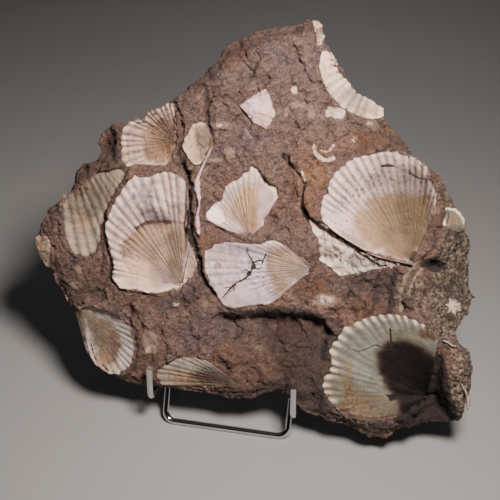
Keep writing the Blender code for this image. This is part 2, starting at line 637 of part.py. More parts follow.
class ValveForm:
    """The columns and rings of one valve, from which its solid and its pocket are made."""

    def __init__(self, valve):
        self.valve = valve
        self.angles, self.radii = polar(valve.margin, valve.umbo)
        turn = 2 * math.pi * round((self.angles.mean() - math.radians(sum(valve.fan) / 2)) / (2 * math.pi))
        self.fan = (math.radians(valve.fan[0]) + turn, math.radians(valve.fan[1]) + turn)
        self.inner = None
        if valve.inner:
            inner_angles, inner_radii = polar(valve.inner, valve.umbo)
            shift = 2 * math.pi * round((self.angles.mean() - inner_angles.mean()) / (2 * math.pi))
            self.inner = (inner_angles + shift, inner_radii)
        self.grooves = self.groove_angles()
        pitch = (self.fan[1] - self.fan[0]) / valve.ribs
        self.crests = [self.fan[0] + pitch * (number + 0.5) for number in range(valve.ribs)]

    def groove_angles(self):
        """Return the angles of the rib grooves and of the margin's corners outside the ribs."""
        start, end = self.fan
        pitch = (end - start) / self.valve.ribs
        angles = [start + pitch * number for number in range(self.valve.ribs + 1)]
        angles = [angle for angle in angles if self.angles[0] < angle < self.angles[-1]]
        outside = [a for a in self.angles if a < start - 0.02 or a > end + 0.02]
        angles += outside + [self.angles[0], self.angles[-1]]
        kept = []
        for angle in sorted(angles):
            if not kept or angle - kept[-1] > 0.004:
                kept.append(angle)
        return kept

    def radius(self, angle, share):
        """Return the radius at a share of the way from the inner edge to the margin."""
        outer = float(np.interp(angle, self.angles, self.radii))
        start = 0.0 if self.inner is None else float(np.interp(angle, *self.inner))
        return start + (outer - start) * share

    def place(self, angle, share, crest=False):
        """Return (u, v) on one column of the fan; a crest lies midway between its two grooves."""
        if crest:
            half_pitch = (self.fan[1] - self.fan[0]) / self.valve.ribs / 2
            sides = [np.array(self.place(angle + turn, share)) for turn in (-half_pitch, half_pitch)]
            scallop = MARGIN_SCALLOP if share == 1.0 else 0.0
            return tuple((sides[0] + sides[1]) / 2 + scallop * np.array((math.cos(angle), math.sin(angle))))
        radius = self.radius(angle, share)
        umbo_u, umbo_v = self.valve.umbo
        return (umbo_u + math.cos(angle) * radius, umbo_v + math.sin(angle) * radius)

    def height(self, angle, share):
        """Return the height of the valve's smooth surface."""
        valve = self.valve
        outer = float(np.interp(angle, self.angles, self.radii))
        reach = self.radius(angle, share) / outer
        across = (angle - self.angles[0]) / (self.angles[-1] - self.angles[0])
        arch = math.sin(math.pi * min(max(across, 0.0), 1.0)) ** 0.5
        sag = valve.dish * 4.0 * reach * (1.0 - reach) * arch
        return valve.rim_height + (valve.umbo_height - valve.rim_height) * (1.0 - reach) ** valve.bowl - sag

    def bed_height(self, point):
        """Return the height of the rock under the valve, or beside it past its margin, at (u, v)."""
        away = np.array(point, float) - self.valve.umbo
        middle = (self.angles[0] + self.angles[-1]) / 2
        turns = round((middle - math.atan2(away[1], away[0])) / (2 * math.pi))
        angle = math.atan2(away[1], away[0]) + 2 * math.pi * turns
        inner, outer = self.radius(angle, 0.0), self.radius(angle, 1.0)
        share = min(max((np.linalg.norm(away) - inner) / (outer - inner), 0.0), 1.0)
        return self.height(angle, share) - SHELL_THICKNESS + BED_RISE

    def solid(self, finish, collection):
        """Return the valve as a closed plate, ribbed in front and smooth behind."""
        valve = self.valve
        data = bmesh.new()
        grooves = [(angle, False) for angle in self.grooves]
        crests = [(angle, True) for angle in self.crests]
        top = self.grid(data, sorted(grooves + crests), TOP_RINGS, 0.0)
        base = self.grid(data, grooves, BASE_RINGS, -SHELL_THICKNESS)
        self.close(data, top, base)
        return object_from_bmesh(valve.name, data, collection, finish)

    def grid(self, data, columns, rings, lift):
        """Add a grid of vertices and its faces, and return its columns as (angle, rows)."""
        apex = None
        grid = []
        for angle, crest in columns:
            rows = []
            for share in rings:
                if share == 0.0 and self.inner is None:
                    if apex is None:
                        height = self.height(angle, 0.0) + lift
                        apex = data.verts.new(face_point(*self.valve.umbo, height) * MM)
                    rows.append((share, apex))
                    continue
                rib = self.valve.rib_height * share if crest else 0.0
                u, v = self.place(angle, share, crest)
                vertex = data.verts.new(face_point(u, v, self.height(angle, share) + lift + rib) * MM)
                rows.append((share, vertex))
            grid.append((angle, rows))
        for (_, rows), (_, next_rows) in zip(grid[:-1], grid[1:]):
            stitch(data, rows, next_rows)
        return grid

    def close(self, data, top, base):
        """Join the rims of the upper and lower grids."""
        for row in ((-1,) if self.inner is None else (-1, 0)):
            upper = [(angle, rows[row][1]) for angle, rows in top]
            lower = [(angle, rows[row][1]) for angle, rows in base]
            stitch(data, upper, lower)
        for column in (0, -1):
            stitch(data, top[column][1], base[column][1])

    def pocket(self, collection):
        """Return the cutter that makes room for the valve, open towards EYE."""
        data = bmesh.new()
        boundary = self.boundary()
        loop = offset_outline([self.place(angle, share) for angle, share in boundary], POCKET_MARGIN)
        moved = dict(zip(boundary, loop))
        layers = []
        for top_layer in (True, False):
            rings = (0.0, 1.0) if top_layer else BASE_RINGS
            grid = []
            apex = None
            for angle in self.grooves:
                rows = []
                for share in rings:
                    key = (self.grooves[0], 0.0) if share == 0.0 and self.inner is None else (angle, share)
                    if key[1] == 0.0 and self.inner is None and apex is not None:
                        rows.append((share, apex))
                        continue
                    u, v = moved.get(key, self.place(*key))
                    height = POCKET_TOP
                    if not top_layer:
                        height = self.height(angle, share) - SHELL_THICKNESS - self.gap_below(share)
                    vertex = data.verts.new(face_point(u, v, height) * MM)
                    if key[1] == 0.0 and self.inner is None:
                        apex = vertex
                    rows.append((share, vertex))
                grid.append((angle, rows))
            for (_, rows), (_, next_rows) in zip(grid[:-1], grid[1:]):
                stitch(data, rows, next_rows)
            layers.append(grid)
        self.close(data, *layers)
        cutter = object_from_bmesh("pocket_" + self.valve.name, data, collection)
        mark_cutter(cutter)
        return cutter

    def gap_below(self, share):
        """Return the room under the valve, which is wider under a domed one and at a steep umbo."""
        rise = abs(self.valve.rim_height - self.valve.umbo_height)
        steep = STEEP_ROOM * max(rise - STEEP_RISE, 0.0) if share == 0.0 else 0.0
        return POCKET_GAP + DOME_ROOM * max(-self.valve.dish, 0.0) + steep

    def boundary(self):
        """Return the (angle, share) keys round the edge of the base grid, anticlockwise."""
        first, last = self.grooves[0], self.grooves[-1]
        middle = BASE_RINGS[1:-1]
        keys = [(first, 0.0)] + [(first, share) for share in middle]
        keys += [(angle, 1.0) for angle in self.grooves]
        keys += [(last, share) for share in reversed(middle)]
        if self.inner is not None:
            keys += [(angle, 0.0) for angle in reversed(self.grooves[1:])]
        return keys


def offset_outline(outline, distance):
    """Move every corner of an anticlockwise outline outwards by a distance."""
    corners = [np.array(point, float) for point in outline]
    moved = []
    for index, corner in enumerate(corners):
        before = corner - corners[index - 1]
        after = corners[(index + 1) % len(corners)] - corner
        normals = [np.array((run[1], -run[0])) / max(np.linalg.norm(run), 1e-6) for run in (before, after)]
        joint = normals[0] + normals[1]
        joint /= max(np.linalg.norm(joint), 1e-6)
        stretch = max(float(joint @ normals[0]), 0.45)
        moved.append(tuple(corner + joint * distance / stretch))
    return moved


def anticlockwise(outline):
    """Return an outline turned to run anticlockwise."""
    points = np.array(outline, float)
    following = np.roll(points, -1, axis=0)
    area = np.sum(points[:, 0] * following[:, 1] - following[:, 0] * points[:, 1])
    return outline if area > 0 else tuple(reversed(outline))


def chip_shape(name, outline, rings, base_drop, collection, finish=None):
    """Return a closed plate: rings are (share, height over the rock) from the middle to the rim."""
    data = bmesh.new()
    center = np.mean(np.array(outline, float), axis=0)
    sides = []
    for drop in (0.0, base_drop):
        rock = rock_height(center[None, :], ())[0]
        middle = data.verts.new(face_point(*center, rock + rings[0][1] - drop) * MM)
        rows = []
        for share, height in rings[1:]:
            places = np.array([center + (np.array(corner) - center) * share for corner in outline])
            row = []
            for place, rock in zip(places, rock_height(places, ())):
                row.append(data.verts.new(face_point(*place, rock + height - drop) * MM))
            rows.append(row)
        for i in range(len(outline)):
            j = (i + 1) % len(outline)
            data.faces.new((middle, rows[0][i], rows[0][j]))
            for inner, outer in zip(rows[:-1], rows[1:]):
                data.faces.new((inner[i], outer[i], outer[j], inner[j]))
        sides.append(rows[-1])
    for i in range(len(outline)):
        j = (i + 1) % len(outline)
        data.faces.new((sides[0][i], sides[1][i], sides[1][j], sides[0][j]))
    return object_from_bmesh(name, data, collection, finish)


def make_chip(chip, finish, parts, cutters):
    """Return a chip's solid and the cutter of its pocket."""
    outline = anticlockwise(chip.outline)
    middle = chip.middle_height
    ring_height = middle + (chip.rim_height - middle) * CHIP_MIDDLE_RISE
    rings = ((0.0, middle), (CHIP_MIDDLE_RING, ring_height), (1.0, chip.rim_height))
    solid = chip_shape(chip.name, outline, rings, SHELL_THICKNESS, parts, finish)
    floor = min(middle, chip.rim_height) - SHELL_THICKNESS - POCKET_GAP
    room = offset_outline(outline, CHIP_POCKET_MARGIN)
    levels = ((0.0, POCKET_TOP), (1.0, POCKET_TOP))
    cutter = chip_shape("pocket_" + chip.name, room, levels, POCKET_TOP - floor, cutters)
    mark_cutter(cutter)
    return solid, cutter


def wall_along(name, path, sections, collection, finish=None):
    """Return a closed wall: at each path point its section is a loop of (across, height over the rock)."""
    data = bmesh.new()
    points = np.array(path, float)
    rocks = rock_height(points, ())
    loops = []
    for index, point in enumerate(points):
        run = points[min(index + 1, len(points) - 1)] - points[max(index - 1, 0)]
        across = np.array((run[1], -run[0])) / np.linalg.norm(run)
        loop = []
        for offset, height in sections[index]:
            place = point + across * offset
            loop.append(data.verts.new(face_point(*place, rocks[index] + height) * MM))
        loops.append(loop)
    for loop, following in zip(loops[:-1], loops[1:]):
        for i in range(len(loop)):
            j = (i + 1) % len(loop)
            data.faces.new((loop[i], loop[j], following[j], following[i]))
    data.faces.new(loops[0])
    data.faces.new(tuple(reversed(loops[-1])))
    bmesh.ops.triangulate(data, faces=data.faces)
    return object_from_bmesh(name, data, collection, finish)


def make_blade(blade, finish, parts, cutters):
    """Return a blade's solid and the cutter of its slot."""
    sections = []
    slots = []
    for width in blade.widths:
        half = width / 2
        bottom, top = -blade.depth, blade.height
        sections.append(((-half, bottom), (half, bottom), (half, top), (-half, top)))
        room = half + BLADE_POCKET_MARGIN
        floor = -blade.depth - POCKET_GAP
        slots.append(((-room, floor), (room, floor), (room, POCKET_TOP), (-room, POCKET_TOP)))
    solid = wall_along(blade.name, blade.path, sections, parts, finish)
    first = np.array(blade.path[0], float)
    last = np.array(blade.path[-1], float)
    ahead = (first - np.array(blade.path[1])) / np.linalg.norm(first - np.array(blade.path[1]))
    behind = (last - np.array(blade.path[-2])) / np.linalg.norm(last - np.array(blade.path[-2]))
    longer = (tuple(first + ahead * POCKET_GAP),) + blade.path[1:-1] + (tuple(last + behind * POCKET_GAP),)
    cutter = wall_along("slot_" + blade.name, longer, slots, cutters)
    mark_cutter(cutter)
    return solid, cutter


def make_cleft(name, path, width, depth, collection):
    """Return the cutter of one wedge-shaped cleft."""
    half = width / 2
    open_top = ((0.0, -depth), (half, 1.0), (half, POCKET_TOP), (-half, POCKET_TOP), (-half, 1.0))
    tip = ((0.0, -0.5), (0.4, 1.0), (0.4, POCKET_TOP), (-0.4, POCKET_TOP), (-0.4, 1.0))
    sections = [tip] + [open_top] * (len(path) - 2) + [tip]
    cutter = wall_along(name, path, sections, collection)
    mark_cutter(cutter)
    return cutter


def rounded_corner(before, corner, after, radius, steps):
    """Return points round a corner between two straight runs."""
    toward = (before - corner).normalized()
    away = (after - corner).normalized()
    half_angle = toward.angle(away) / 2
    reach = radius / math.tan(half_angle)
    center = corner + (toward + away).normalized() * (radius / math.sin(half_angle))
    start = corner + toward * reach - center
    end = corner + away * reach - center
    sweep = start.angle(end)
    points = []
    for step in range(steps + 1):
        share = step / steps
        mixed = start * math.sin((1 - share) * sweep) + end * math.sin(share * sweep)
        points.append(center + mixed / math.sin(sweep))
    return points


def wire_route(corners, radii, steps, closed=False):
    """Return the route of a wire through corners that are rounded by their radii."""
    route = []
    count = len(corners)
    for index, corner in enumerate(corners):
        radius = radii[index]
        if radius == 0.0:
            route.append(corner)
            continue
        route += rounded_corner(corners[index - 1], corner, corners[(index + 1) % count], radius, steps)
    return route


def wire_mesh(name, route, radius, closed, collection):
    """Return a round wire along a route as a closed mesh."""
    curve = bpy.data.curves.new(name, "CURVE")
    curve.dimensions = "3D"
    curve.bevel_depth = radius * MM
    curve.bevel_resolution = 2
    curve.use_fill_caps = not closed
    spline = curve.splines.new("POLY")
    spline.points.add(len(route) - 1)
    for point, place in zip(spline.points, route):
        point.co = (*(place * MM), 1.0)
    spline.use_cyclic_u = closed
    holder = bpy.data.objects.new(name + "_route", curve)
    collection.objects.link(holder)
    return mesh_of(holder, name, collection)


def hook_route():
    """Return the route of the wire with the two hooks, the two arms and the rear bar."""
    half = HOOK_SPACING / 2
    tip = Vector((-half, 0.0, HOOK_TIP_HEIGHT))
    bend = Vector((-half, 0.0, HOOK_BEND_HEIGHT))
    rear = Vector((-half, REAR_BAR_Y, WIRE_RADIUS))
    left = [tip, bend, rear]
    right = [Vector((-point.x, point.y, point.z)) for point in reversed(left)]
    radii = (0.0, HOOK_BEND_RADIUS, REAR_CORNER_RADIUS, REAR_CORNER_RADIUS, HOOK_BEND_RADIUS, 0.0)
    return wire_route(left + right, radii, 4)


def base_route():
    """Return the closed route of the base bar, the two legs and the bar that the slab leans on."""
    top_y = BASE_BAR_Y + (BACK_FRAME_TOP - WIRE_RADIUS) * math.tan(BACK_FRAME_LEAN)
    foot = Vector((-BASE_HALF_WIDTH, BASE_BAR_Y, WIRE_RADIUS))
    top = Vector((-BASE_HALF_WIDTH, top_y, BACK_FRAME_TOP))
    corners = [foot, top, Vector((-top.x, top.y, top.z)), Vector((-foot.x, foot.y, foot.z))]
    return wire_route(corners, (BASE_CORNER_RADIUS,) * 4, 4, closed=True)


def flatten_foot(wire):
    """Give a wire a narrow flat strip where it stands on the table."""
    for vertex in wire.data.vertices:
        if vertex.co.z < FOOT_FLAT * MM:
            vertex.co.z = 0.0


def shade(part, angle=math.radians(35)):
    """Shade a part smooth, with its sharp edges kept."""
    part.data.shade_smooth()
    part.data.set_sharp_from_angle(angle=angle)


def cut(target, cutters):
    """Cut pockets, slots and clefts out of a solid one after another."""
    for cutter in cutters:
        boolean = target.modifiers.new(cutter.name, "BOOLEAN")
        boolean.operation = "DIFFERENCE"
        boolean.solver = "EXACT"
        boolean.object = cutter
        apply_modifiers(target)


def keep_largest_piece(target):
    """Drop the loose crumbs that cutting leaves."""
    data = bmesh.new()
    data.from_mesh(target.data)
    pieces = []
    unseen = set(data.verts)
    while unseen:
        front = [unseen.pop()]
        piece = set(front)
        while front:
            vertex = front.pop()
            for edge in vertex.link_edges:
                other = edge.other_vert(vertex)
                if other in unseen:
                    unseen.discard(other)
                    piece.add(other)
                    front.append(other)
        pieces.append(piece)
    pieces.sort(key=len)
    crumbs = [vertex for piece in pieces[:-1] for vertex in piece]
    bmesh.ops.delete(data, geom=crumbs, context="VERTS")
    bmesh.ops.triangulate(data, faces=data.faces)
    data.to_mesh(target.data)
    data.free()


def stand_on_origin(parts):
    """Move all parts so that the origin is under the middle of the whole object."""
    bpy.context.view_layer.update()
    corners = [part.matrix_world @ Vector(corner) for part in parts for corner in part.bound_box]
    middle = [(min(c[axis] for c in corners) + max(c[axis] for c in corners)) / 2 for axis in (0, 1)]
    for part in parts:
        part.location = (-middle[0], -middle[1], 0.0)


def build():
    """Build the slab, its shells and the stand."""
    clear_scene()
    parts = new_collection(COLLECTION_NAME)
    cutters = new_collection(CUTTER_COLLECTION_NAME)
    rock = material("rock", ROCK, 0.92)
    chrome = material("chrome", (0.62, 0.62, 0.63), 0.12, 1.0)
    shell_finishes = {}
    for color, label in ((CHALK, "shell_chalk"), (CREAM, "shell_cream"), (BUFF, "shell_buff")):
        shell_finishes[color] = material(label, color, 0.7)

    forms = [ValveForm(valve) for valve in VALVES]
    slab = make_slab(forms, parts)
    slab.data.materials.clear()
    slab.data.materials.append(rock)
    pockets = []
    shells = []
    for form in forms:
        shells.append(form.solid(shell_finishes[form.valve.color], parts))
        pockets.append(form.pocket(cutters))
    for chip in CHIPS:
        solid, pocket = make_chip(chip, shell_finishes[chip.color], parts, cutters)
        shells.append(solid)
        pockets.append(pocket)
    for blade in BLADES:
        solid, pocket = make_blade(blade, shell_finishes[blade.color], parts, cutters)
        shells.append(solid)
        pockets.append(pocket)
    for name, path, width, depth in CLEFTS:
        pockets.append(make_cleft(name, path, width, depth, cutters))
    for name, route, closed in (("hooks", hook_route(), False), ("frame", base_route(), True)):
        room = wire_mesh("room_for_" + name, route, WIRE_RADIUS + WIRE_GAP, closed, cutters)
        mark_cutter(room)
        pockets.append(room)
    cut(slab, pockets)
    keep_largest_piece(slab)

    hooks = wire_mesh("stand_hook_wire", hook_route(), WIRE_RADIUS, False, parts)
    frame = wire_mesh("stand_base_wire", base_route(), WIRE_RADIUS, True, parts)
    for wire in (hooks, frame):
        flatten_foot(wire)
        wire.data.materials.append(chrome)
        shade(wire)
    for shell in shells:
        shade(shell)
    stand_on_origin([slab, hooks, frame] + shells)


build()
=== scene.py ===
"""Looks of a slab of brown rock with fossil scallop valves in its face, on a bent wire stand.

A place on the slab's face is (u, v) in millimetres: u runs along the stand's base bar and v up the
leaning face.  Relief is raised or sunk along lines that meet at one point in front of the slab.
Meshes are worked out in millimetres and put in the frame's metres at the end.
"""

import logging
import math
from dataclasses import dataclass, field
from enum import Enum

import bpy
import numpy as np
from mathutils import Matrix, Vector, noise


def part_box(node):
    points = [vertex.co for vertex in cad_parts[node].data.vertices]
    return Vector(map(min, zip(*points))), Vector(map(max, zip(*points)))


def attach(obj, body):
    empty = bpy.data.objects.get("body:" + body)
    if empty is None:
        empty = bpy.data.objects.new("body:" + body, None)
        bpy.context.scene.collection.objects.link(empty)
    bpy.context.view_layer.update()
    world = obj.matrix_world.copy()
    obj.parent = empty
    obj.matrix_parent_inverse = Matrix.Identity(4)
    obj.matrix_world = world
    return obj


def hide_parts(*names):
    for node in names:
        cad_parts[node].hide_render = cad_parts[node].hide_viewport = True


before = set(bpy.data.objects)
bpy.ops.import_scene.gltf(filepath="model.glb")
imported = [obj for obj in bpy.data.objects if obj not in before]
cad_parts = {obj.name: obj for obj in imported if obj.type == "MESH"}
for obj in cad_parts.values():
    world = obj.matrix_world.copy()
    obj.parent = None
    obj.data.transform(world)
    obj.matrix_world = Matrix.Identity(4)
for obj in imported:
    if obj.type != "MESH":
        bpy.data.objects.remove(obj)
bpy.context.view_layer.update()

MM = 0.001
BODY = "root"

log = logging.getLogger("fossil_slab")

Point = tuple[float, float]
Path = tuple[Point, ...]
Color = tuple[float, float, float]


class Mark(Enum):
    """What a mark on a surface looks like; each one is a value at every vertex."""

    PALE = "pale"
    RUST = "rust"
    GREY = "grey"
    POROUS = "porous"
    DARK = "dark"
    # Relief height of the rock, read as painted shade in low spots and pores and as painted highlight on high spots.
    GRAIN = "relief_shade"
    ZONE = "zone"
    RIB = "rib"
    REACH = "reach"
    CRACK = "crack"
    PIT = "pit"
    SPECKLE = "speckle"
    # This mark lays painted shadow, brown to near black, in cracks, in gaps under shell edges and in the deep hollow.
    # Its value 'deep' names the same painted shadow.
    DEEP = "deep"
    # This mark lays painted shade: darker colour where the slab and the shells turn from the light or lie far from it.
    # Its value 'dim' names the same painted shade.
    DIM = "dim"
    SMOOTH = "smooth"
    TAN = "tan"
    EARTH = "earth"


@dataclass(frozen=True)
class Blob:
    """An oval mark: its middle, half its width and height, its strength and how soft its edge is."""

    mark: Mark
    middle: Point
    half: Point
    strength: float = 1.0
    soft: float = 0.35


@dataclass(frozen=True)
class Stroke:
    """A mark along a line: its path, its width and its strength."""

    mark: Mark
    path: Path
    width: float
    strength: float = 1.0


@dataclass(frozen=True)
class Patch:
    """A mark that fills an outline: how strong it is and how wide its soft edge is."""

    mark: Mark
    outline: Path
    strength: float = 1.0
    soft: float = 2.0


@dataclass(frozen=True)
class Trench:
    """A crack in the rock: its path along the face, its width and its depth."""

    path: Path
    width: float
    depth: float


def smooth_step(value: np.ndarray, low: float, high: float) -> np.ndarray:
    """Rise from 0 at low to 1 at high.

    Args:
        value: The numbers to turn into shares.
        low: Where the rise starts.
        high: Where the rise ends.

    Returns:
        A share from 0 to 1 for each number.
    """
    share = np.clip((value - low) / (high - low), 0.0, 1.0)
    return share * share * (3.0 - 2.0 * share)


def distance_to_line(points: np.ndarray, line: Path) -> np.ndarray:
    """Return each point's distance to an open line.

    Args:
        points: Places on the face, one row each.
        line: The corners of the line.

    Returns:
        One distance for each point.
    """
    nearest = np.full(len(points), 1e9)
    corners = np.array(line, float)
    for start, end in zip(corners[:-1], corners[1:]):
        run = end - start
        share = np.clip(((points - start) @ run) / (run @ run), 0.0, 1.0)
        away = points - start - share[:, None] * run
        nearest = np.minimum(nearest, np.sqrt(np.sum(away * away, axis=1)))
    return nearest


def depth_inside(points: np.ndarray, outline: Path) -> np.ndarray:
    """Return the distance to a closed outline, positive inside it.

    Args:
        points: Places on the face, one row each.
        outline: The corners of the outline.

    Returns:
        One signed distance for each point.
    """
    inside = np.zeros(len(points), bool)
    corners = np.array(outline, float)
    for start, end in zip(corners, np.roll(corners, -1, axis=0)):
        spans = (start[1] > points[:, 1]) != (end[1] > points[:, 1])
        rise = end[1] - start[1] if end[1] != start[1] else 1e-9
        crossing = start[0] + (points[:, 1] - start[1]) * (end[0] - start[0]) / rise
        inside ^= spans & (points[:, 0] < crossing)
    distance = distance_to_line(points, tuple(outline) + (outline[0],))
    return np.where(inside, distance, -distance)


def inward_direction(points: np.ndarray, outline: Path, step: float = 1.0) -> np.ndarray:
    """Return the unit direction in which the depth inside an outline grows fastest.

    Args:
        points: Places on the face, one row each.
        outline: The corners of the outline.
        step: How far apart the two depths are that give a slope.

    Returns:
        One unit vector for each point.
    """
    across = depth_inside(points + (step, 0.0), outline) - depth_inside(points - (step, 0.0), outline)
    upward = depth_inside(points + (0.0, step), outline) - depth_inside(points - (0.0, step), outline)
    direction = np.stack((across, upward), axis=1)
    return direction / np.maximum(np.linalg.norm(direction, axis=1), 1e-6)[:, None]


def waves(points: np.ndarray, size: float, seed: float) -> np.ndarray:
    """Return smooth seeded noise from about -1 to 1.

    Args:
        points: Places with two or three columns.
        size: The length of a wave in millimetres.
        seed: A number that gives another pattern.

    Returns:
        One value for each point.
    """
    scaled = points / size
    if scaled.shape[1] == 2:
        return np.array([noise.noise(Vector((u, v, seed))) for u, v in scaled])
    return np.array([noise.noise(Vector((x, y, z + seed))) for x, y, z in scaled])


def rough_waves(places: np.ndarray, size: float, octaves: int, seed: float) -> np.ndarray:
    """Return noise with several finer layers.

    Args:
        places: Places with three columns.
        size: The length of the longest wave in millimetres.
        octaves: How many layers, each twice as fine as the one before.
        seed: A number that gives another pattern.

    Returns:
        One value for each place.
    """
    scaled = places / size + seed
    return np.array([noise.fractal(Vector(place), 0.75, 2.0, octaves) for place in scaled])


def broken_faces(points: np.ndarray, size: float, step: float, tilt: float, seed: float) -> np.ndarray:
    """Return heights of flat broken faces, each stepped and tilted by a seeded amount.

    Args:
        points: Places with two or three columns.
        size: About how wide one face is.
        step: How far a face may stand up or down.
        tilt: How steep a face may be.
        seed: A number that gives another pattern.

    Returns:
        One height for each point.
    """
    scaled = points / size
    if scaled.shape[1] == 2:
        scaled = np.column_stack((scaled, np.full(len(scaled), seed)))
    else:
        scaled = scaled + (0.0, 0.0, seed)
    heights = []
    for spot in scaled:
        place = Vector(spot)
        center = noise.voronoi(place)[1][0]
        turn = noise.cell_vector(center * 9.7) * 2.0 - Vector((1.0, 1.0, 1.0))
        away = (place - center) * size
        heights.append(step * turn.z + tilt * (turn.x * away.x + turn.y * away.y))
    return np.array(heights)


def pitted(places: np.ndarray, size: float, seed: float) -> np.ndarray:
    """Return 1 in the middle of round pits that lie about size apart, and 0 between them.

    Args:
        places: Places with three columns.
        size: About how far apart the pits lie.
        seed: A number that gives another pattern.

    Returns:
        One share for each place.
    """
    nearest = [noise.voronoi(Vector(place))[0][0] for place in places / size + seed]
    return 1.0 - smooth_step(np.array(nearest), 0.12, 0.42)


class MarkMap:
    """How strongly each kind of mark shows at a set of places on the face."""

    def __init__(self, points: np.ndarray, marks: tuple, wobble: float = 0.3) -> None:
        """Take the places, the blobs and strokes that lie on them, and how uneven their edges are."""
        self.points = points
        self.marks = marks
        self.uneven = wobble * (waves(points, 4.0, 51.0) + 0.6 * waves(points, 1.7, 57.0))

    def share(self, mark: Mark) -> np.ndarray:
        """Return how strongly one kind of mark shows, from 0 to 1.

        Args:
            mark: The kind that is wanted.

        Returns:
            One share for each place.
        """
        total = np.zeros(len(self.points))
        for item in self.marks:
            if item.mark is not mark:
                continue
            if isinstance(item, Blob):
                away = (self.points - item.middle) / item.half
                distance = np.linalg.norm(away, axis=1) + self.uneven
                share = 1.0 - smooth_step(distance, 1.0 - item.soft, 1.0 + item.soft)
            elif isinstance(item, Patch):
                depth_in = depth_inside(self.points, item.outline) - 1.5 * min(item.soft, 2.0) * self.uneven
                share = smooth_step(depth_in, -item.soft, item.soft)
            else:
                distance = distance_to_line(self.points, item.path) / (item.width / 2.0) + self.uneven
                share = 1.0 - smooth_step(distance, 0.5, 1.4)
            total = np.maximum(total, share * item.strength)
        return total


def ray_reach(center: Point, outline: Path, angle: np.ndarray) -> np.ndarray:
    """Return how far each direction runs from a center to the outline round it.

    Args:
        center: A point inside the outline.
        outline: The corners of the outline.
        angle: The directions.

    Returns:
        One distance for each direction.
    """
    direction = np.stack((np.cos(angle), np.sin(angle)), axis=1)
    corners = np.array(outline, float) - center
    reach = np.zeros(len(angle))
    for start, end in zip(corners, np.roll(corners, -1, axis=0)):
        edge = end - start
        cross = direction[:, 0] * edge[1] - direction[:, 1] * edge[0]
        cross = np.where(np.abs(cross) < 1e-9, 1e-9, cross)
        along = (start[0] * edge[1] - start[1] * edge[0]) / cross
        share = (start[0] * direction[:, 1] - start[1] * direction[:, 0]) / cross
        hit = (along > 0.0) & (share >= -1e-6) & (share <= 1.0 + 1e-6)
        reach = np.where(hit, np.maximum(reach, along), reach)
    return reach


@dataclass(frozen=True)
class FacePlane:
    """The leaning plane of the slab's face and the point from which its relief is seen."""

    lean: float = math.radians(18.0)
    foot: tuple[float, float, float] = (0.0, 3.0, 30.0)
    eye: tuple[float, float, float] = (132.0, -537.0, 485.0)

    def up(self) -> np.ndarray:
        """Return the direction up the face."""
        return np.array((0.0, math.sin(self.lean), math.cos(self.lean)))

    def out(self) -> np.ndarray:
        """Return the direction straight out of the face."""
        return np.array((0.0, -math.cos(self.lean), math.sin(self.lean)))

    def places(self, points: np.ndarray, height: np.ndarray) -> np.ndarray:
        """Return places raised over the face along the lines of sight.

        Args:
            points: Places on the face, one row each.
            height: How far each one is raised.

        Returns:
            One row of x, y and z in millimetres for each point.
        """
        feet = np.array(self.foot) + points[:, :1] * (1.0, 0.0, 0.0) + points[:, 1:2] * self.up()
        sight = np.array(self.eye) - feet
        sight /= np.linalg.norm(sight, axis=1)[:, None]
        return feet + sight * np.asarray(height).reshape(-1, 1)


FACE = FacePlane()


def frame_offset() -> np.ndarray:
    """Return where the hooks' plane and the middle between them lie in the frame, in millimetres."""
    base_low, base_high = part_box("stand_base_wire")
    hook_low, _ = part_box("stand_hook_wire")
    return np.array(((base_low.x + base_high.x) / 2.0, hook_low.y, 0.0)) / MM + (0.0, WIRE_RADIUS, 0.0)


WIRE_RADIUS = 2.0
OFFSET = frame_offset()


def deselect_all() -> None:
    """Deselect every object."""
    bpy.ops.object.select_all(action="DESELECT")


def put(piece: bpy.types.Object, places: np.ndarray) -> None:
    """Move a piece's vertices to places given in millimetres.

    Args:
        piece: The piece whose vertices move.
        places: One row for each vertex.
    """
    metres = (places + OFFSET) * MM
    piece.data.vertices.foreach_set("co", metres.astype(np.float32).ravel())
    piece.data.update()


def places_of(piece: bpy.types.Object) -> np.ndarray:
    """Return a piece's vertices in the units they are held in, one row each."""
    places = np.empty(len(piece.data.vertices) * 3, np.float32)
    piece.data.vertices.foreach_get("co", places)
    return places.reshape(-1, 3).astype(float)


def write_mark(piece: bpy.types.Object, mark: Mark, values: np.ndarray) -> None:
    """Keep one value at every vertex, for the material to read.

    Args:
        piece: The piece that is marked.
        mark: The mark that the values belong to.
        values: One value for each vertex.
    """
    layer = piece.data.attributes.new(mark.value, "FLOAT", "POINT")
    layer.data.foreach_set("value", np.asarray(values, np.float32))


def apply_modifier(piece: bpy.types.Object, name: str) -> None:
    """Apply one of a piece's modifiers."""
    bpy.context.view_layer.objects.active = piece
    bpy.ops.object.modifier_apply(modifier=name)


def merge_doubles(piece: bpy.types.Object, distance: float) -> None:
    """Close a piece's seams and poles, and point its faces outwards.

    Args:
        piece: The piece to close.
        distance: Vertices nearer than this are merged.
    """
    deselect_all()
    piece.select_set(True)
    bpy.context.view_layer.objects.active = piece
    bpy.ops.object.mode_set(mode="EDIT")
    bpy.ops.mesh.select_all(action="SELECT")
    bpy.ops.mesh.remove_doubles(threshold=distance)
    bpy.ops.mesh.normals_make_consistent(inside=False)
    bpy.ops.object.mode_set(mode="OBJECT")


def add_grid(name: str, columns: int, rows: int) -> tuple[bpy.types.Object, np.ndarray, np.ndarray]:
    """Add a flat grid from which a sheet is shaped.

    Args:
        name: The piece's name.
        columns: How many faces it has across.
        rows: How many faces it has upwards.

    Returns:
        The grid, and the share across and upwards of each of its vertices.
    """
    deselect_all()
    bpy.ops.mesh.primitive_grid_add(x_subdivisions=columns, y_subdivisions=rows, size=2.0)
    grid = bpy.context.object
    grid.name = name
    grid.data.name = name
    flat = places_of(grid)
    return grid, (flat[:, 0] + 1.0) / 2.0, (flat[:, 1] + 1.0) / 2.0


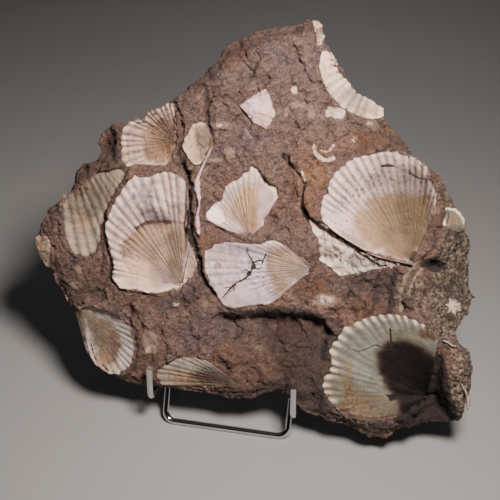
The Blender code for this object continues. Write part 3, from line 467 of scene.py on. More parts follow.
def finish_piece(piece: bpy.types.Object, slot: str, material: bpy.types.Material, *nodes: str) -> None:
    """Dress a piece, put it on the object's body and hide the CAD nodes that it replaces.

    Args:
        piece: The finished piece.
        slot: Not used.
        material: The piece's material.
        nodes: The CAD nodes that it replaces.
    """
    piece.data.materials.clear()
    piece.data.materials.append(material)
    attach(piece, BODY)
    if nodes:
        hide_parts(*nodes)
    log.info("%s: %d vertices, %d faces", piece.name, len(piece.data.vertices), len(piece.data.polygons))


class Signal:
    """A number that varies over a surface, with arithmetic that adds shader nodes."""

    def __init__(self, paint: "Paint", socket: bpy.types.NodeSocket) -> None:
        """Wrap a socket of a paint's node tree."""
        self.paint = paint
        self.socket = socket

    def combine(self, operation: str, first: "Signal | float", second: "Signal | float") -> "Signal":
        """Add one Math node.

        Args:
            operation: The Math node's operation.
            first: Its first value.
            second: Its second value.

        Returns:
            The node's result.
        """
        values = {0: first, 1: second}
        return Signal(self.paint, self.paint.node("ShaderNodeMath", {"operation": operation}, values).outputs[0])

    def __add__(self, other: "Signal | float") -> "Signal":
        """Return the sum."""
        return self.combine("ADD", self, other)

    __radd__ = __add__

    def __sub__(self, other: "Signal | float") -> "Signal":
        """Return the difference."""
        return self.combine("SUBTRACT", self, other)

    def __rsub__(self, other: float) -> "Signal":
        """Return the difference from a number."""
        return self.combine("SUBTRACT", other, self)

    def __mul__(self, other: "Signal | float") -> "Signal":
        """Return the product."""
        return self.combine("MULTIPLY", self, other)

    __rmul__ = __mul__

    def __pow__(self, other: float) -> "Signal":
        """Return a power."""
        return self.combine("POWER", self, other)

    def rise(self, low: float, high: float, start: float = 0.0, end: float = 1.0) -> "Signal":
        """Return a smooth rise between two values.

        Args:
            low: Where the rise starts.
            high: Where the rise ends.
            start: The result below the rise.
            end: The result above the rise.

        Returns:
            The eased and clamped value.
        """
        settings = {"interpolation_type": "SMOOTHSTEP"}
        values = {"Value": self, "From Min": low, "From Max": high, "To Min": start, "To Max": end}
        return Signal(self.paint, self.paint.node("ShaderNodeMapRange", settings, values).outputs["Result"])


class Paint:
    """A material whose nodes are added one call at a time."""

    def __init__(self, name: str) -> None:
        """Start a material with its Principled shader."""
        self.material = bpy.data.materials.new(name)
        self.material.use_nodes = True
        self.tree = self.material.node_tree
        self.shader = self.tree.nodes["Principled BSDF"]
        self.coordinates = self.node("ShaderNodeTexCoord", {}, {}).outputs["Object"]

    def node(self, kind: str, settings: dict, sockets: dict) -> bpy.types.Node:
        """Add one node.

        Args:
            kind: The node's type.
            settings: Values of the node's own properties.
            sockets: A value or a link for each named or numbered input.

        Returns:
            The new node.
        """
        made = self.tree.nodes.new(kind)
        for key, value in settings.items():
            setattr(made, key, value)
        for key, value in sockets.items():
            self.feed(self.input_of(made, key), value)
        return made

    def input_of(self, node: bpy.types.Node, key: "str | int") -> bpy.types.NodeSocket:
        """Return a node's input by its number, its identifier or its name."""
        if isinstance(key, int):
            return node.inputs[key]
        found = [socket for socket in node.inputs if socket.identifier == key]
        return found[0] if found else node.inputs[key]

    def feed(self, socket: bpy.types.NodeSocket, value: object) -> None:
        """Link a socket to another one, or set its constant."""
        if isinstance(value, Signal):
            value = value.socket
        if isinstance(value, bpy.types.NodeSocket):
            self.tree.links.new(value, socket)
        elif isinstance(value, tuple) and len(value) == 3 and socket.type == "RGBA":
            socket.default_value = (*value, 1.0)
        else:
            socket.default_value = value

    def mark(self, mark: Mark) -> Signal:
        """Return a mark that is kept at the piece's vertices."""
        return Signal(self, self.node("ShaderNodeAttribute", {"attribute_name": mark.value}, {}).outputs["Fac"])

    def noise(self, size: float, detail: float = 3.0, roughness: float = 0.55, warp: float = 0.0,
              shift: float = 0.0, stretch: float = 1.0) -> Signal:
        """Return noise over the piece.

        Args:
            size: The size of its spots in millimetres.
            detail: How many finer layers it has.
            roughness: How strong they are.
            warp: How twisted it is.
            shift: Where in the pattern the piece lies.
            stretch: How many times longer its spots are down to the right than across.

        Returns:
            A value about 0.5.
        """
        values = {"Vector": self.coordinates, "Location": (shift, shift, 0.0), "Rotation": (0.0, 0.9, 0.0),
                  "Scale": (1.0, 1.0, stretch)}
        moved = self.node("ShaderNodeMapping", {"vector_type": "TEXTURE"}, values)
        values = {"Vector": moved.outputs[0], "Scale": 1.0 / (size * MM), "Detail": detail,
                  "Roughness": roughness, "Distortion": warp}
        return Signal(self, self.node("ShaderNodeTexNoise", {}, values).outputs[0])

    def cells(self, size: float, feature: str = "F1") -> Signal:
        """Return the distance pattern of cells of a size in millimetres."""
        values = {"Vector": self.coordinates, "Scale": 1.0 / (size * MM)}
        return Signal(self, self.node("ShaderNodeTexVoronoi", {"feature": feature}, values).outputs["Distance"])

    def crystals(self, size: float) -> Signal:
        """Return a chance value for each small cell of a size in millimetres."""
        values = {"Vector": self.coordinates, "Scale": 1.0 / (size * MM)}
        return Signal(self, self.node("ShaderNodeTexVoronoi", {}, values).outputs["Color"])

    def bands(self, along: Signal, count: float) -> Signal:
        """Return uneven bands along a value that runs from 0 to 1."""
        values = {"W": along * count, "Scale": 1.0, "Detail": 2.0}
        return Signal(self, self.node("ShaderNodeTexNoise", {"noise_dimensions": "1D"}, values).outputs[0])

    def blend(self, below: object, above: object, share: "Signal | float", way: str = "MIX") -> bpy.types.NodeSocket:
        """Lay one color over another.

        Args:
            below: The color underneath, constant or linked.
            above: The color on top, constant or linked.
            share: How much of it shows.
            way: The Mix node's blend type.

        Returns:
            The mixed color's socket.
        """
        settings = {"data_type": "RGBA", "blend_type": way, "clamp_factor": True}
        mixed = self.node("ShaderNodeMix", settings, {"Factor_Float": share, "A_Color": below, "B_Color": above})
        return [socket for socket in mixed.outputs if socket.identifier == "Result_Color"][0]

    def bump(self, layers: tuple) -> bpy.types.NodeSocket:
        """Return a normal from layers of (height, depth in millimetres)."""
        normal = None
        for height, depth in layers:
            values = {"Height": height, "Distance": depth * MM, "Strength": 1.0}
            if normal is not None:
                values["Normal"] = normal
            normal = self.node("ShaderNodeBump", {}, values).outputs[0]
        return normal

    def finish(self, color: object, roughness: object, normal: object = None) -> bpy.types.Material:
        """Link the shader's color, roughness and normal, and return the material."""
        self.feed(self.shader.inputs["Base Color"], color)
        self.feed(self.shader.inputs["Roughness"], roughness)
        if normal is not None:
            self.feed(self.shader.inputs["Normal"], normal)
        return self.material


def tinted(color: Color, red: float, green: float, blue: float) -> Color:
    """Return a color with its channels scaled, and none of them over white."""
    return (min(1.0, color[0] * red), min(1.0, color[1] * green), min(1.0, color[2] * blue))


@dataclass(frozen=True)
class RockFinish:
    """Fine-grained reddish-brown rock with ochre, grey and porous buff parts, and painted shade, shadow and glints."""

    name: str = "brown_rock"
    # Near black: used for the stone's own dark flecks, and for painted shade and painted shadow.
    deep: Color = (0.016, 0.009, 0.008)
    body: Color = (0.108, 0.065, 0.052)
    light: Color = (0.270, 0.186, 0.152)
    red: Color = (0.108, 0.052, 0.038)
    purple: Color = (0.074, 0.049, 0.053)
    rust: Color = (0.190, 0.086, 0.032)
    grey: Color = (0.104, 0.070, 0.063)
    buff: Color = (0.070, 0.057, 0.041)
    buff_light: Color = (0.260, 0.214, 0.146)
    tan: Color = (0.250, 0.180, 0.135)
    pale: Color = (0.660, 0.515, 0.430)
    # Tint that multiplies the colour down for painted shade.
    painted_shade_tint: Color = (0.22, 0.20, 0.21)

    def material(self) -> bpy.types.Material:
        """Return the rock's material."""
        paint = Paint(self.name)
        relief_shade = paint.mark(Mark.GRAIN)
        porous = paint.mark(Mark.POROUS)
        patches = paint.noise(26.0, 4.0, 0.6, 0.4)
        tones = paint.noise(12.0, 4.0, 0.62, 0.5, 0.35)
        spots = paint.noise(6.0, 5.0, 0.68, 0.3, 0.7)
        streaks = paint.noise(1.7, 3.0, 0.62, 0.4, 0.5, 2.6)
        speckle = paint.noise(1.2, 3.0, 0.7, 0.0, 0.3)
        grit_glints_and_shade = paint.noise(0.6, 2.0, 0.6, 0.0, 0.9)
        crystals = paint.crystals(0.9)
        rags = paint.noise(2.6, 4.0, 0.7, 0.3, 0.6)
        ragged = 1.3 * rags + 0.5 * speckle - 0.9
        color = paint.blend(self.body, self.red, patches.rise(0.48, 0.62))
        color = paint.blend(color, self.purple, patches.rise(0.48, 0.36))
        color = paint.blend(color, self.rust, tones.rise(0.54, 0.70, 0.0, 0.2))
        color = paint.blend(color, self.purple, tones.rise(0.46, 0.32, 0.0, 0.8))
        color = paint.blend(color, self.grey, paint.mark(Mark.GREY) * spots.rise(0.30, 0.60, 0.5, 1.0))
        color = paint.blend(color, self.rust, paint.mark(Mark.RUST) * spots.rise(0.36, 0.60, 0.15, 1.0))
        color = paint.blend(color, self.buff, porous * spots.rise(0.25, 0.5, 0.4, 1.0))
        color = paint.blend(color, self.light, spots.rise(0.55, 0.75, 0.0, 0.25))
        color = paint.blend(color, self.deep, spots.rise(0.42, 0.30, 0.0, 0.15))
        # Fine light and dark flecks: partly the stone's own grain, partly painted glints and painted micro-shadows.
        color = paint.blend(color, self.light, crystals.rise(0.66, 0.94, 0.0, 0.35))
        color = paint.blend(color, self.deep, crystals.rise(0.36, 0.10, 0.0, 0.3))
        color = paint.blend(color, self.light, grit_glints_and_shade.rise(0.54, 0.70, 0.0, 0.5))
        color = paint.blend(color, self.deep, grit_glints_and_shade.rise(0.46, 0.32, 0.0, 0.45))
        color = paint.blend(color, self.light, streaks.rise(0.54, 0.68, 0.0, 0.35))
        color = paint.blend(color, self.deep, streaks.rise(0.45, 0.33, 0.0, 0.6))
        color = paint.blend(color, self.deep, speckle.rise(0.44, 0.33, 0.0, 0.45))
        color = paint.blend(color, self.buff_light, porous * rags.rise(0.50, 0.62, 0.0, 0.8))
        color = paint.blend(color, self.deep, porous * rags.rise(0.50, 0.38, 0.0, 0.9))
        color = paint.blend(color, self.buff_light, porous * speckle.rise(0.56, 0.66, 0.0, 0.7))
        color = paint.blend(color, self.deep, porous * speckle.rise(0.46, 0.38, 0.0, 0.7))
        # Painted shade in low spots and pores, painted highlight on high spots.
        color = paint.blend(color, self.deep, relief_shade.rise(0.30, 0.02, 0.0, 0.7))
        color = paint.blend(color, self.light, relief_shade.rise(0.70, 0.95, 0.0, 0.3))
        color = paint.blend(color, self.tan, (paint.mark(Mark.TAN) + ragged).rise(0.30, 0.72, 0.0, 0.85))
        chalk = paint.blend(self.pale, self.tan, rags.rise(0.52, 0.66, 0.0, 0.7))
        color = paint.blend(color, chalk, (paint.mark(Mark.PALE) + ragged).rise(0.40, 0.58))
        # Painted shade: the colour is multiplied down where the slab lies in shade or far from the light.
        painted_shade_share = paint.mark(Mark.DIM) * spots.rise(0.25, 0.60, 1.0, 0.8)
        color = paint.blend(color, self.painted_shade_tint, painted_shade_share, "MULTIPLY")
        # The dark mark darkens patches of rock, some of them painted shade under the ledge and on sunken lumps; the
        # painted shadow mark lays near black in cracks and the hollow.
        color = paint.blend(color, self.deep, (paint.mark(Mark.DARK) + ragged).rise(0.25, 0.95, 0.0, 0.92))
        color = paint.blend(color, self.deep, (paint.mark(Mark.DEEP) + 0.4 * ragged).rise(0.25, 0.60))
        roughness = 0.72 + 0.25 * spots
        normal = paint.bump(((spots, 1.4), (streaks, 1.6), (speckle, 1.3), (crystals, 0.3)))
        return paint.finish(color, roughness, normal)


@dataclass(frozen=True)
class ShellFinish:
    """Weathered fossil shell: a chalky outer layer, a warmer inner zone, stains, grooves and cracks, with painted
    shade, shadow and highlights.
    """

    name: str
    outer: Color
    zone: Color
    rim: Color = (0.80, 0.64, 0.56)
    # Colour for the grooves between ribs: dirt and painted shade.
    groove_dirt_and_shade: Color = (0.230, 0.195, 0.185)
    stain: Color = (0.075, 0.042, 0.028)
    rust: Color = (0.300, 0.160, 0.070)
    line: Color = (0.150, 0.090, 0.055)
    # Colours of painted shadow: brown at its soft edge, near black inside.
    hollow: Color = (0.060, 0.027, 0.021)
    deep: Color = (0.016, 0.009, 0.008)
    crack: Color = (0.022, 0.018, 0.016)
    earth: Color = (0.110, 0.070, 0.056)
    pale: Color = (0.860, 0.665, 0.600)
    tan: Color = (0.420, 0.310, 0.205)
    # Tint that multiplies the colour down for painted shade.
    painted_shade_tint: Color = (0.20, 0.20, 0.19)
    rim_start: float = 0.86
    rim_share: float = 0.5
    groove_dirt_and_shade_share: float = 0.8
    zone_lines: float = 0.9
    mottling: float = 0.7
    growth_lines: float = 0.4
    gloss: float = 0.52
    sheen: float = 0.25

    def material(self) -> bpy.types.Material:
        """Return the shell's material."""
        paint = Paint(self.name)
        paint.shader.inputs["Specular IOR Level"].default_value = self.sheen
        rib = paint.mark(Mark.RIB)
        zone = paint.mark(Mark.ZONE)
        reach = paint.mark(Mark.REACH)
        clouds = paint.noise(8.0, 4.0, 0.62, 0.3)
        tints = paint.noise(13.0, 3.0, 0.6, 0.5, 0.23)
        spots = paint.noise(2.2, 4.0, 0.65, 0.0, 0.4)
        speckle = paint.noise(0.75, 3.0, 0.65, 0.0, 0.8)
        growth = paint.bands(reach, 60.0)
        ragged = 0.9 * spots + 0.5 * speckle - 0.7
        cool = tinted(self.outer, 0.60, 0.63, 0.70)
        color = paint.blend(self.outer, tinted(self.outer, 1.15, 1.15, 1.15), clouds.rise(0.46, 0.66))
        color = paint.blend(color, cool, clouds.rise(0.52, 0.34, 0.0, self.mottling))
        color = paint.blend(color, tinted(self.outer, 0.92, 0.78, 0.62), tints.rise(0.50, 0.66, 0.0, 0.8))
        # Rib crests near the margin lighter: partly whiter worn crests, partly painted highlight.
        color = paint.blend(color, self.rim, reach.rise(self.rim_start, self.rim_start + 0.07) * rib * self.rim_share)
        warm = paint.blend(self.zone, tinted(self.zone, 0.72, 0.70, 0.70), clouds.rise(0.42, 0.64))
        warm = paint.blend(warm, tinted(self.zone, 1.25, 1.28, 1.3), spots.rise(0.52, 0.72, 0.0, 0.5))
        color = paint.blend(color, warm, (zone + 0.3 * ragged).rise(0.0, 1.0))
        color = paint.blend(color, cool, growth.rise(0.50, 0.68, 0.0, self.growth_lines) * (1.0 - zone))
        color = paint.blend(color, self.tan, paint.mark(Mark.TAN) * spots.rise(0.3, 0.6, 0.7, 1.0))
        color = paint.blend(color, self.pale, paint.mark(Mark.PALE) * spots.rise(0.3, 0.6, 0.6, 1.0))
        lines = 1.0 - rib
        color = paint.blend(color, self.line, lines.rise(0.30, 1.0) * zone * self.zone_lines)
        # Grooves between the ribs darkened: partly dirt, partly painted shade.
        dirt_and_shade_in_grooves = lines.rise(0.10, 0.85) * (1.0 - zone) * spots.rise(0.34, 0.60, 0.45, 1.0)
        color = paint.blend(color, self.groove_dirt_and_shade, dirt_and_shade_in_grooves * self.groove_dirt_and_shade_share)
        # On a shell the grey mark lays painted grey shade.
        painted_grey_shade = tinted(cool, 0.50, 0.51, 0.54)
        color = paint.blend(color, painted_grey_shade, paint.mark(Mark.GREY) * spots.rise(0.35, 0.6, 0.35, 0.95))
        color = paint.blend(color, self.stain, paint.mark(Mark.PIT) * 0.7)
        color = paint.blend(color, self.rust, paint.mark(Mark.RUST) * spots.rise(0.38, 0.58, 0.2, 0.95))
        color = paint.blend(color, self.stain, (paint.mark(Mark.DARK) + ragged).rise(0.25, 0.75, 0.0, 0.95))
        flecks = (0.5 * spots + 0.5 * speckle).rise(0.50, 0.60)
        stained = (paint.mark(Mark.SPECKLE) * flecks).rise(0.15, 0.70, 0.0, 0.9)
        color = paint.blend(color, self.stain, stained)
        color = paint.blend(color, cool, speckle.rise(0.47, 0.34, 0.0, 0.6))
        color = paint.blend(color, self.earth, (paint.mark(Mark.EARTH) + 2.0 * ragged).rise(0.55, 1.05, 0.0, 0.9))
        # Painted shade: the valve's colour is multiplied down where it turns from the light.
        color = paint.blend(color, self.painted_shade_tint, paint.mark(Mark.DIM), "MULTIPLY")
        # Painted shadow: brown, then near black where the mark is strongest.
        deep = paint.mark(Mark.DEEP) + 0.1 * ragged
        color = paint.blend(color, self.hollow, deep.rise(0.0, 0.8))
        color = paint.blend(color, self.deep, deep.rise(0.5, 1.05))
        color = paint.blend(color, self.crack, (paint.mark(Mark.CRACK) + 0.3 * ragged).rise(0.28, 0.55))
        roughness = self.gloss + 0.3 * spots - 0.1 * zone
        normal = paint.bump(((spots, 0.55), (speckle, 0.35)))
        return paint.finish(color, roughness, normal)


@dataclass(frozen=True)
class ChromeFinish:
    """Bright chromed wire with faint wear."""

    name: str = "bright_chrome"
    bright: Color = (0.64, 0.64, 0.65)
    worn: Color = (0.50, 0.49, 0.48)

    def material(self) -> bpy.types.Material:
        """Return the wire's material."""
        paint = Paint(self.name)
        haze = paint.noise(6.0, 3.0, 0.6)
        scuffs = paint.noise(0.7, 2.0, 0.7, 0.0, 0.5)
        color = paint.blend(self.bright, self.worn, haze.rise(0.5, 0.75, 0.0, 0.6))
        paint.shader.inputs["Metallic"].default_value = 1.0
        roughness = 0.07 + 0.14 * haze * scuffs
        return paint.finish(color, roughness, paint.bump(((scuffs, 0.012),)))


LARGE_RIGHT = ShellFinish("peach_shell", (0.550, 0.400, 0.370), (0.285, 0.190, 0.105), pale=(0.580, 0.440, 0.450),
                          line=(0.095, 0.062, 0.034), tan=(0.235, 0.165, 0.078), painted_shade_tint=(0.180, 0.185, 0.165),
                          stain=(0.070, 0.058, 0.054),
                          groove_dirt_and_shade_share=0.85)
KNOBBLY = ShellFinish("knobbly_shell", (0.540, 0.460, 0.400), (0.400, 0.300, 0.220), pale=(0.680, 0.590, 0.560),
                      groove_dirt_and_shade_share=0.6, mottling=0.9)
CENTER_LEFT = ShellFinish("tall_shell", (0.610, 0.455, 0.425), (0.290, 0.200, 0.142), line=(0.110, 0.080, 0.055),
                          pale=(0.560, 0.390, 0.265), tan=(0.440, 0.310, 0.210), groove_dirt_and_shade_share=1.0)
UPPER_LEFT = ShellFinish("browned_shell", (0.460, 0.325, 0.262), (0.150, 0.100, 0.070), line=(0.050, 0.028, 0.018),
                         groove_dirt_and_shade=(0.150, 0.110, 0.090), groove_dirt_and_shade_share=1.0)
FAR_LEFT = ShellFinish("buff_shell", (0.240, 0.197, 0.152), (0.220, 0.165, 0.120), rim_share=0.15, mottling=0.8,
                       groove_dirt_and_shade=(0.100, 0.075, 0.058), pale=(0.400, 0.325, 0.260))
CENTER = ShellFinish("small_fan_shell", (0.450, 0.325, 0.305), (0.330, 0.225, 0.130), pale=(1.000, 0.790, 0.770),
                     groove_dirt_and_shade_share=0.45)
LOWER_CENTER = ShellFinish("cracked_shell", (0.490, 0.385, 0.430), (0.235, 0.175, 0.125), tan=(0.300, 0.200, 0.120),
                           pale=(0.580, 0.450, 0.450), groove_dirt_and_shade_share=0.5)
TOP_EDGE = ShellFinish("corrugated_shell", (0.560, 0.430, 0.370), (0.500, 0.380, 0.280), pale=(0.680, 0.510, 0.380),
                       tan=(0.300, 0.210, 0.130), groove_dirt_and_shade_share=0.6)
HOLLOW = ShellFinish("hollow_shell", (0.172, 0.176, 0.145), (0.200, 0.185, 0.145), rim=(0.70, 0.57, 0.46),
                     groove_dirt_and_shade=(0.080, 0.066, 0.050), tan=(0.135, 0.105, 0.064), rust=(0.165, 0.088, 0.036),
                     hollow=(0.036, 0.018, 0.014), deep=(0.006, 0.004, 0.004), rim_start=0.90, rim_share=0.9)
LOWER_LEFT = ShellFinish("dished_shell", (0.410, 0.370, 0.345), (0.145, 0.105, 0.070), rim=(0.42, 0.37, 0.32),
                         groove_dirt_and_shade=(0.085, 0.070, 0.058), groove_dirt_and_shade_share=0.7)
BOTTOM = ShellFinish("stained_shell", (0.190, 0.170, 0.142), (0.200, 0.150, 0.110), rim=(0.31, 0.27, 0.22),
                     groove_dirt_and_shade=(0.090, 0.070, 0.056))
SMOOTH_TOP = ShellFinish("smooth_shell", (0.570, 0.405, 0.445), (0.560, 0.420, 0.330), tan=(0.470, 0.320, 0.235))
CUP = ShellFinish("cup_shell", (0.430, 0.305, 0.225), (0.165, 0.130, 0.092), pale=(0.440, 0.335, 0.260))
EDGE = ShellFinish("edge_shell", (0.400, 0.340, 0.290), (0.400, 0.300, 0.230), tan=(0.110, 0.100, 0.070))
RIGHT_EDGE = ShellFinish("grey_edge_shell", (0.165, 0.160, 0.128), (0.400, 0.300, 0.230), pale=(0.700, 0.640, 0.560),
                         tan=(0.200, 0.135, 0.090), rim_share=0.0)
LEFT_EDGE = ShellFinish("brown_edge_shell", (0.400, 0.320, 0.260), (0.240, 0.170, 0.120))


@dataclass(frozen=True)
class Valve:
    """One scallop valve: a fan of ribs about its umbo, with its margin as given points."""

    name: str
    umbo: Point
    margin: Path
    fan: Point
    ribs: int
    umbo_height: float
    rim_height: float
    dish: float
    rib_height: float
    finish: ShellFinish
    slot: str
    inner: Path = ()
    bowl: float = 1.0
    ring: float = 0.3
    inner_ribs: float = 0.3
    knobs: float = 0.3
    folds: float = 0.25
    scallop: float = 0.6
    inner_scallop: float = 0.0
    sharpness: float = 2.0
    zone: Path = ()
    zone_soft: float = 3.0
    zone_step: float = 0.0
    pits: float = 0.0
    cover: float = 0.9
    bed: float = 1.4
    rib_center: Point | None = None
    buried: float = 1.1
    marks: tuple = ()


def polar(points: Path, center: Point) -> tuple[np.ndarray, np.ndarray]:
    """Return unwrapped angles and radii of points about a center, sorted by angle."""
    offsets = np.array(points, float) - center
    angles = np.unwrap(np.arctan2(offsets[:, 1], offsets[:, 0]))
    radii = np.linalg.norm(offsets, axis=1)
    order = np.argsort(angles, kind="stable")
    return angles[order], radii[order]


@dataclass
class FanShell:
    """A valve's mesh: its ribbed surface over the rock, its thickness, its margin and its marks."""

    valve: Valve
    thickness: float = 1.5
    rib_columns: int = 9
    row_length: float = 0.62
    start_share: float = 0.03
    chipping: float = 1.6
    flat_crest: float = 0.6
    rounded_edge: float = 0.5
    angles: np.ndarray = field(init=False)
    radii: np.ndarray = field(init=False)
    inner: tuple | None = field(init=False, default=None)
    fan: Point = field(init=False)
    seed: float = field(init=False)

    def __post_init__(self) -> None:
        """Work out the margin and the fan of ribs as angles about the umbo."""
        self.angles, self.radii = polar(self.valve.margin, self.valve.umbo)
        self.seed = float(len(self.valve.name)) + 0.37 * self.valve.umbo[0]
        middle = math.radians(sum(self.valve.fan) / 2)
        turn = 0.0 if self.valve.rib_center else 2 * math.pi * round((self.angles.mean() - middle) / (2 * math.pi))
        self.fan = (math.radians(self.valve.fan[0]) + turn, math.radians(self.valve.fan[1]) + turn)
        if self.valve.inner:
            inner_angles, inner_radii = polar(self.valve.inner, self.valve.umbo)
            shift = 2 * math.pi * round((self.angles.mean() - inner_angles.mean()) / (2 * math.pi))
            self.inner = (inner_angles + shift, inner_radii)

    def inner_radius(self, angle: np.ndarray) -> np.ndarray:
        """Return the radius at which the valve starts."""
        if self.inner is None:
            return np.zeros_like(angle)
        return np.interp(angle, *self.inner)

    def outline(self) -> Path:
        """Return the valve's whole outline on the face."""
        spread = np.stack((np.cos(self.angles), np.sin(self.angles)), axis=1) * self.radii[:, None]
        margin = [tuple(point) for point in spread + self.valve.umbo]
        if self.inner is None:
            return (self.valve.umbo, *margin)
        near = np.stack((np.cos(self.angles), np.sin(self.angles)), axis=1)
        near = near * self.inner_radius(self.angles)[:, None] + self.valve.umbo
        return (*margin, *[tuple(point) for point in near[::-1]])

    def height(self, angle: np.ndarray, reach: np.ndarray) -> np.ndarray:
        """Return the height of the smooth surface.

        Args:
            angle: The direction from the umbo.
            reach: The share of the way from the umbo to the margin.

        Returns:
            One height for each place.
        """
        across = (angle - self.angles[0]) / (self.angles[-1] - self.angles[0])
        arch = np.sqrt(np.sin(math.pi * np.clip(across, 0.0, 1.0)))
        sag = self.valve.dish * 4.0 * reach * (1.0 - reach) * arch
        rise = (self.valve.umbo_height - self.valve.rim_height) * (1.0 - reach) ** self.valve.bowl
        return self.valve.rim_height + rise - sag

    def surface_under(self, points: np.ndarray) -> np.ndarray:
        """Return the height of the valve's surface at places on the face, or of its nearest margin."""
        away = points - self.valve.umbo
        angle = np.arctan2(away[:, 1], away[:, 0])
        middle = (self.angles[0] + self.angles[-1]) / 2
        angle = angle + 2 * math.pi * np.round((middle - angle) / (2 * math.pi))
        outer = np.interp(angle, self.angles, self.radii)
        inner = self.inner_radius(angle)
        share = np.clip((np.linalg.norm(away, axis=1) - inner) / (outer - inner), 0.0, 1.0)
        return self.height(angle, (inner + (outer - inner) * share) / outer)

    def rib_angle(self, angle: np.ndarray, radius: np.ndarray) -> np.ndarray:
        """Return the direction of each place from the point where the ribs meet.

        Args:
            angle: The direction of each place from the umbo.
            radius: Its distance from the umbo.

        Returns:
            One direction for each place.
        """
        if self.valve.rib_center is None:
            return angle
        places = np.stack((np.cos(angle), np.sin(angle)), axis=1) * radius[:, None] + self.valve.umbo
        away = places - self.valve.rib_center
        return np.arctan2(away[:, 1], away[:, 0])

    def rib_turn(self, angle: np.ndarray) -> np.ndarray:
        """Return how many ribs lie before each direction, with ribs of uneven width."""
        turn = (angle - self.fan[0]) / (self.fan[1] - self.fan[0]) * self.valve.ribs
        flat = np.column_stack((turn, np.zeros_like(turn)))
        return turn + 0.45 * waves(flat, 1.9, self.seed)

    def crest(self, turn: np.ndarray) -> np.ndarray:
        """Return 0 in the grooves between ribs and 1 on their crests."""
        phase = turn - np.floor(turn)
        profile = 1.0 - np.abs(2.0 * phase - 1.0) ** self.valve.sharpness
        return np.where((turn > 0.0) & (turn < self.valve.ribs), profile, self.flat_crest)

    def rib_strength(self, turn: np.ndarray) -> np.ndarray:
        """Return how strong each rib is."""
        numbers = np.floor(turn)
        found = {number: noise.cell(Vector((number + 0.5, self.seed, 0.5))) for number in np.unique(numbers)}
        return 0.75 + 0.5 * np.array([found[number] for number in numbers])

    def build(self) -> bpy.types.Object:
        """Return the finished valve."""
        valve = self.valve
        sheet, across, outward = add_grid(valve.name + "_shell", self.rib_columns * valve.ribs,
                                          int(self.radii.max() / self.row_length))
        angle = self.angles[-1] + (self.angles[0] - self.angles[-1]) * across
        outer = np.interp(angle, self.angles, self.radii)
        inner = self.inner_radius(angle)
        share = self.start_share + (1.0 - self.start_share) * outward
        turn = self.rib_turn(self.rib_angle(angle, inner + (outer - inner) * share))
        crest = self.crest(turn)
        along = np.stack((angle * outer, np.zeros_like(angle)), axis=1)
        chips = np.maximum(waves(along, 3.3, self.seed) - 0.10, 0.0) * self.chipping
        nibbles = 0.35 * waves(along, 1.1, self.seed + 5.0)
        edge = outward ** 8.0 * smooth_step(outer, 5.0, 22.0)
        radius = inner + (outer - inner) * share
        radius += ((crest - self.flat_crest) * valve.scallop - chips + nibbles) * edge
        radius -= (crest - self.flat_crest) * valve.inner_scallop * (1.0 - outward) ** 8.0
        points = np.stack((np.cos(angle), np.sin(angle)), axis=1) * radius[:, None] + valve.umbo
        reach = np.clip(radius / outer, 0.0, 1.0)
        marks = MarkMap(points, valve.marks)
        smooth = marks.share(Mark.SMOOTH)
        ring = smooth_step(reach, valve.ring, valve.ring + 0.24)
        height = self.height(angle, reach)
        strength = self.rib_strength(turn) * (valve.inner_ribs + (1.0 - valve.inner_ribs) * ring)
        height += valve.rib_height * (crest - 0.5) * strength * (1.0 - smooth)
        bumps = waves(np.column_stack((radius / 2.3, turn * 1.2)), 1.0, self.seed)
        height += valve.knobs * bumps * (0.25 + 0.75 * ring) * (1.0 - 0.7 * smooth)
        height += valve.folds * waves(np.column_stack((radius / 5.0, angle * 2.2)), 1.0, self.seed + 2.0)
        height += 0.10 * waves(points, 1.4, self.seed) + 0.3 * waves(points, 9.0, self.seed + 3.0)
        height -= self.rounded_edge * outward ** 14.0
        zone = self.zone_share(points)
        height += valve.zone_step * zone
        crack = marks.share(Mark.CRACK)
        height -= 0.3 * crack
        pits = self.pit_share(points, crest, reach) * valve.pits
        height -= 0.3 * pits
        put(sheet, FACE.places(points, height))
        rib = 1.0 - (1.0 - crest) * (1.0 - smooth) * np.clip(strength + 0.7, 0.0, 1.0)
        for mark, values in ((Mark.RIB, rib), (Mark.REACH, reach), (Mark.ZONE, zone), (Mark.CRACK, crack),
                             (Mark.PIT, pits)):
            write_mark(sheet, mark, values)
        for mark in (Mark.GREY, Mark.TAN, Mark.PALE, Mark.RUST, Mark.DARK, Mark.SPECKLE, Mark.DEEP, Mark.DIM):
            write_mark(sheet, mark, marks.share(mark))
        write_mark(sheet, Mark.EARTH, 1.0 - smooth_step(depth_inside(points, self.outline()), 0.0, valve.buried))
        solidify = sheet.modifiers.new("thickness", "SOLIDIFY")
        solidify.thickness = self.thickness * MM
        solidify.offset = -1.0
        apply_modifier(sheet, solidify.name)
        deselect_all()
        sheet.select_set(True)
        bpy.ops.object.shade_smooth_by_angle(angle=math.radians(50.0))
        return sheet

    def zone_share(self, points: np.ndarray) -> np.ndarray:
        """Return how much each place belongs to the valve's inner zone."""
        if not self.valve.zone:
            return np.zeros(len(points))
        soft = self.valve.zone_soft
        uneven = soft * 0.8 * waves(points, 5.0, 71.0) + 0.5 * waves(points, 1.5, 75.0)
        return smooth_step(depth_inside(points, self.valve.zone) + uneven, -soft, soft)

    def pit_share(self, points: np.ndarray, crest: np.ndarray, reach: np.ndarray) -> np.ndarray:
        """Return the small dark pits that lie in rows along the grooves."""
        rows = smooth_step(reach, 0.56, 0.68) * (1.0 - smooth_step(reach, 0.88, 0.97))
        holes = smooth_step(waves(points, 1.3, 91.0), 0.16, 0.36)
        return rows * holes * smooth_step(0.85 - crest, 0.0, 0.5)


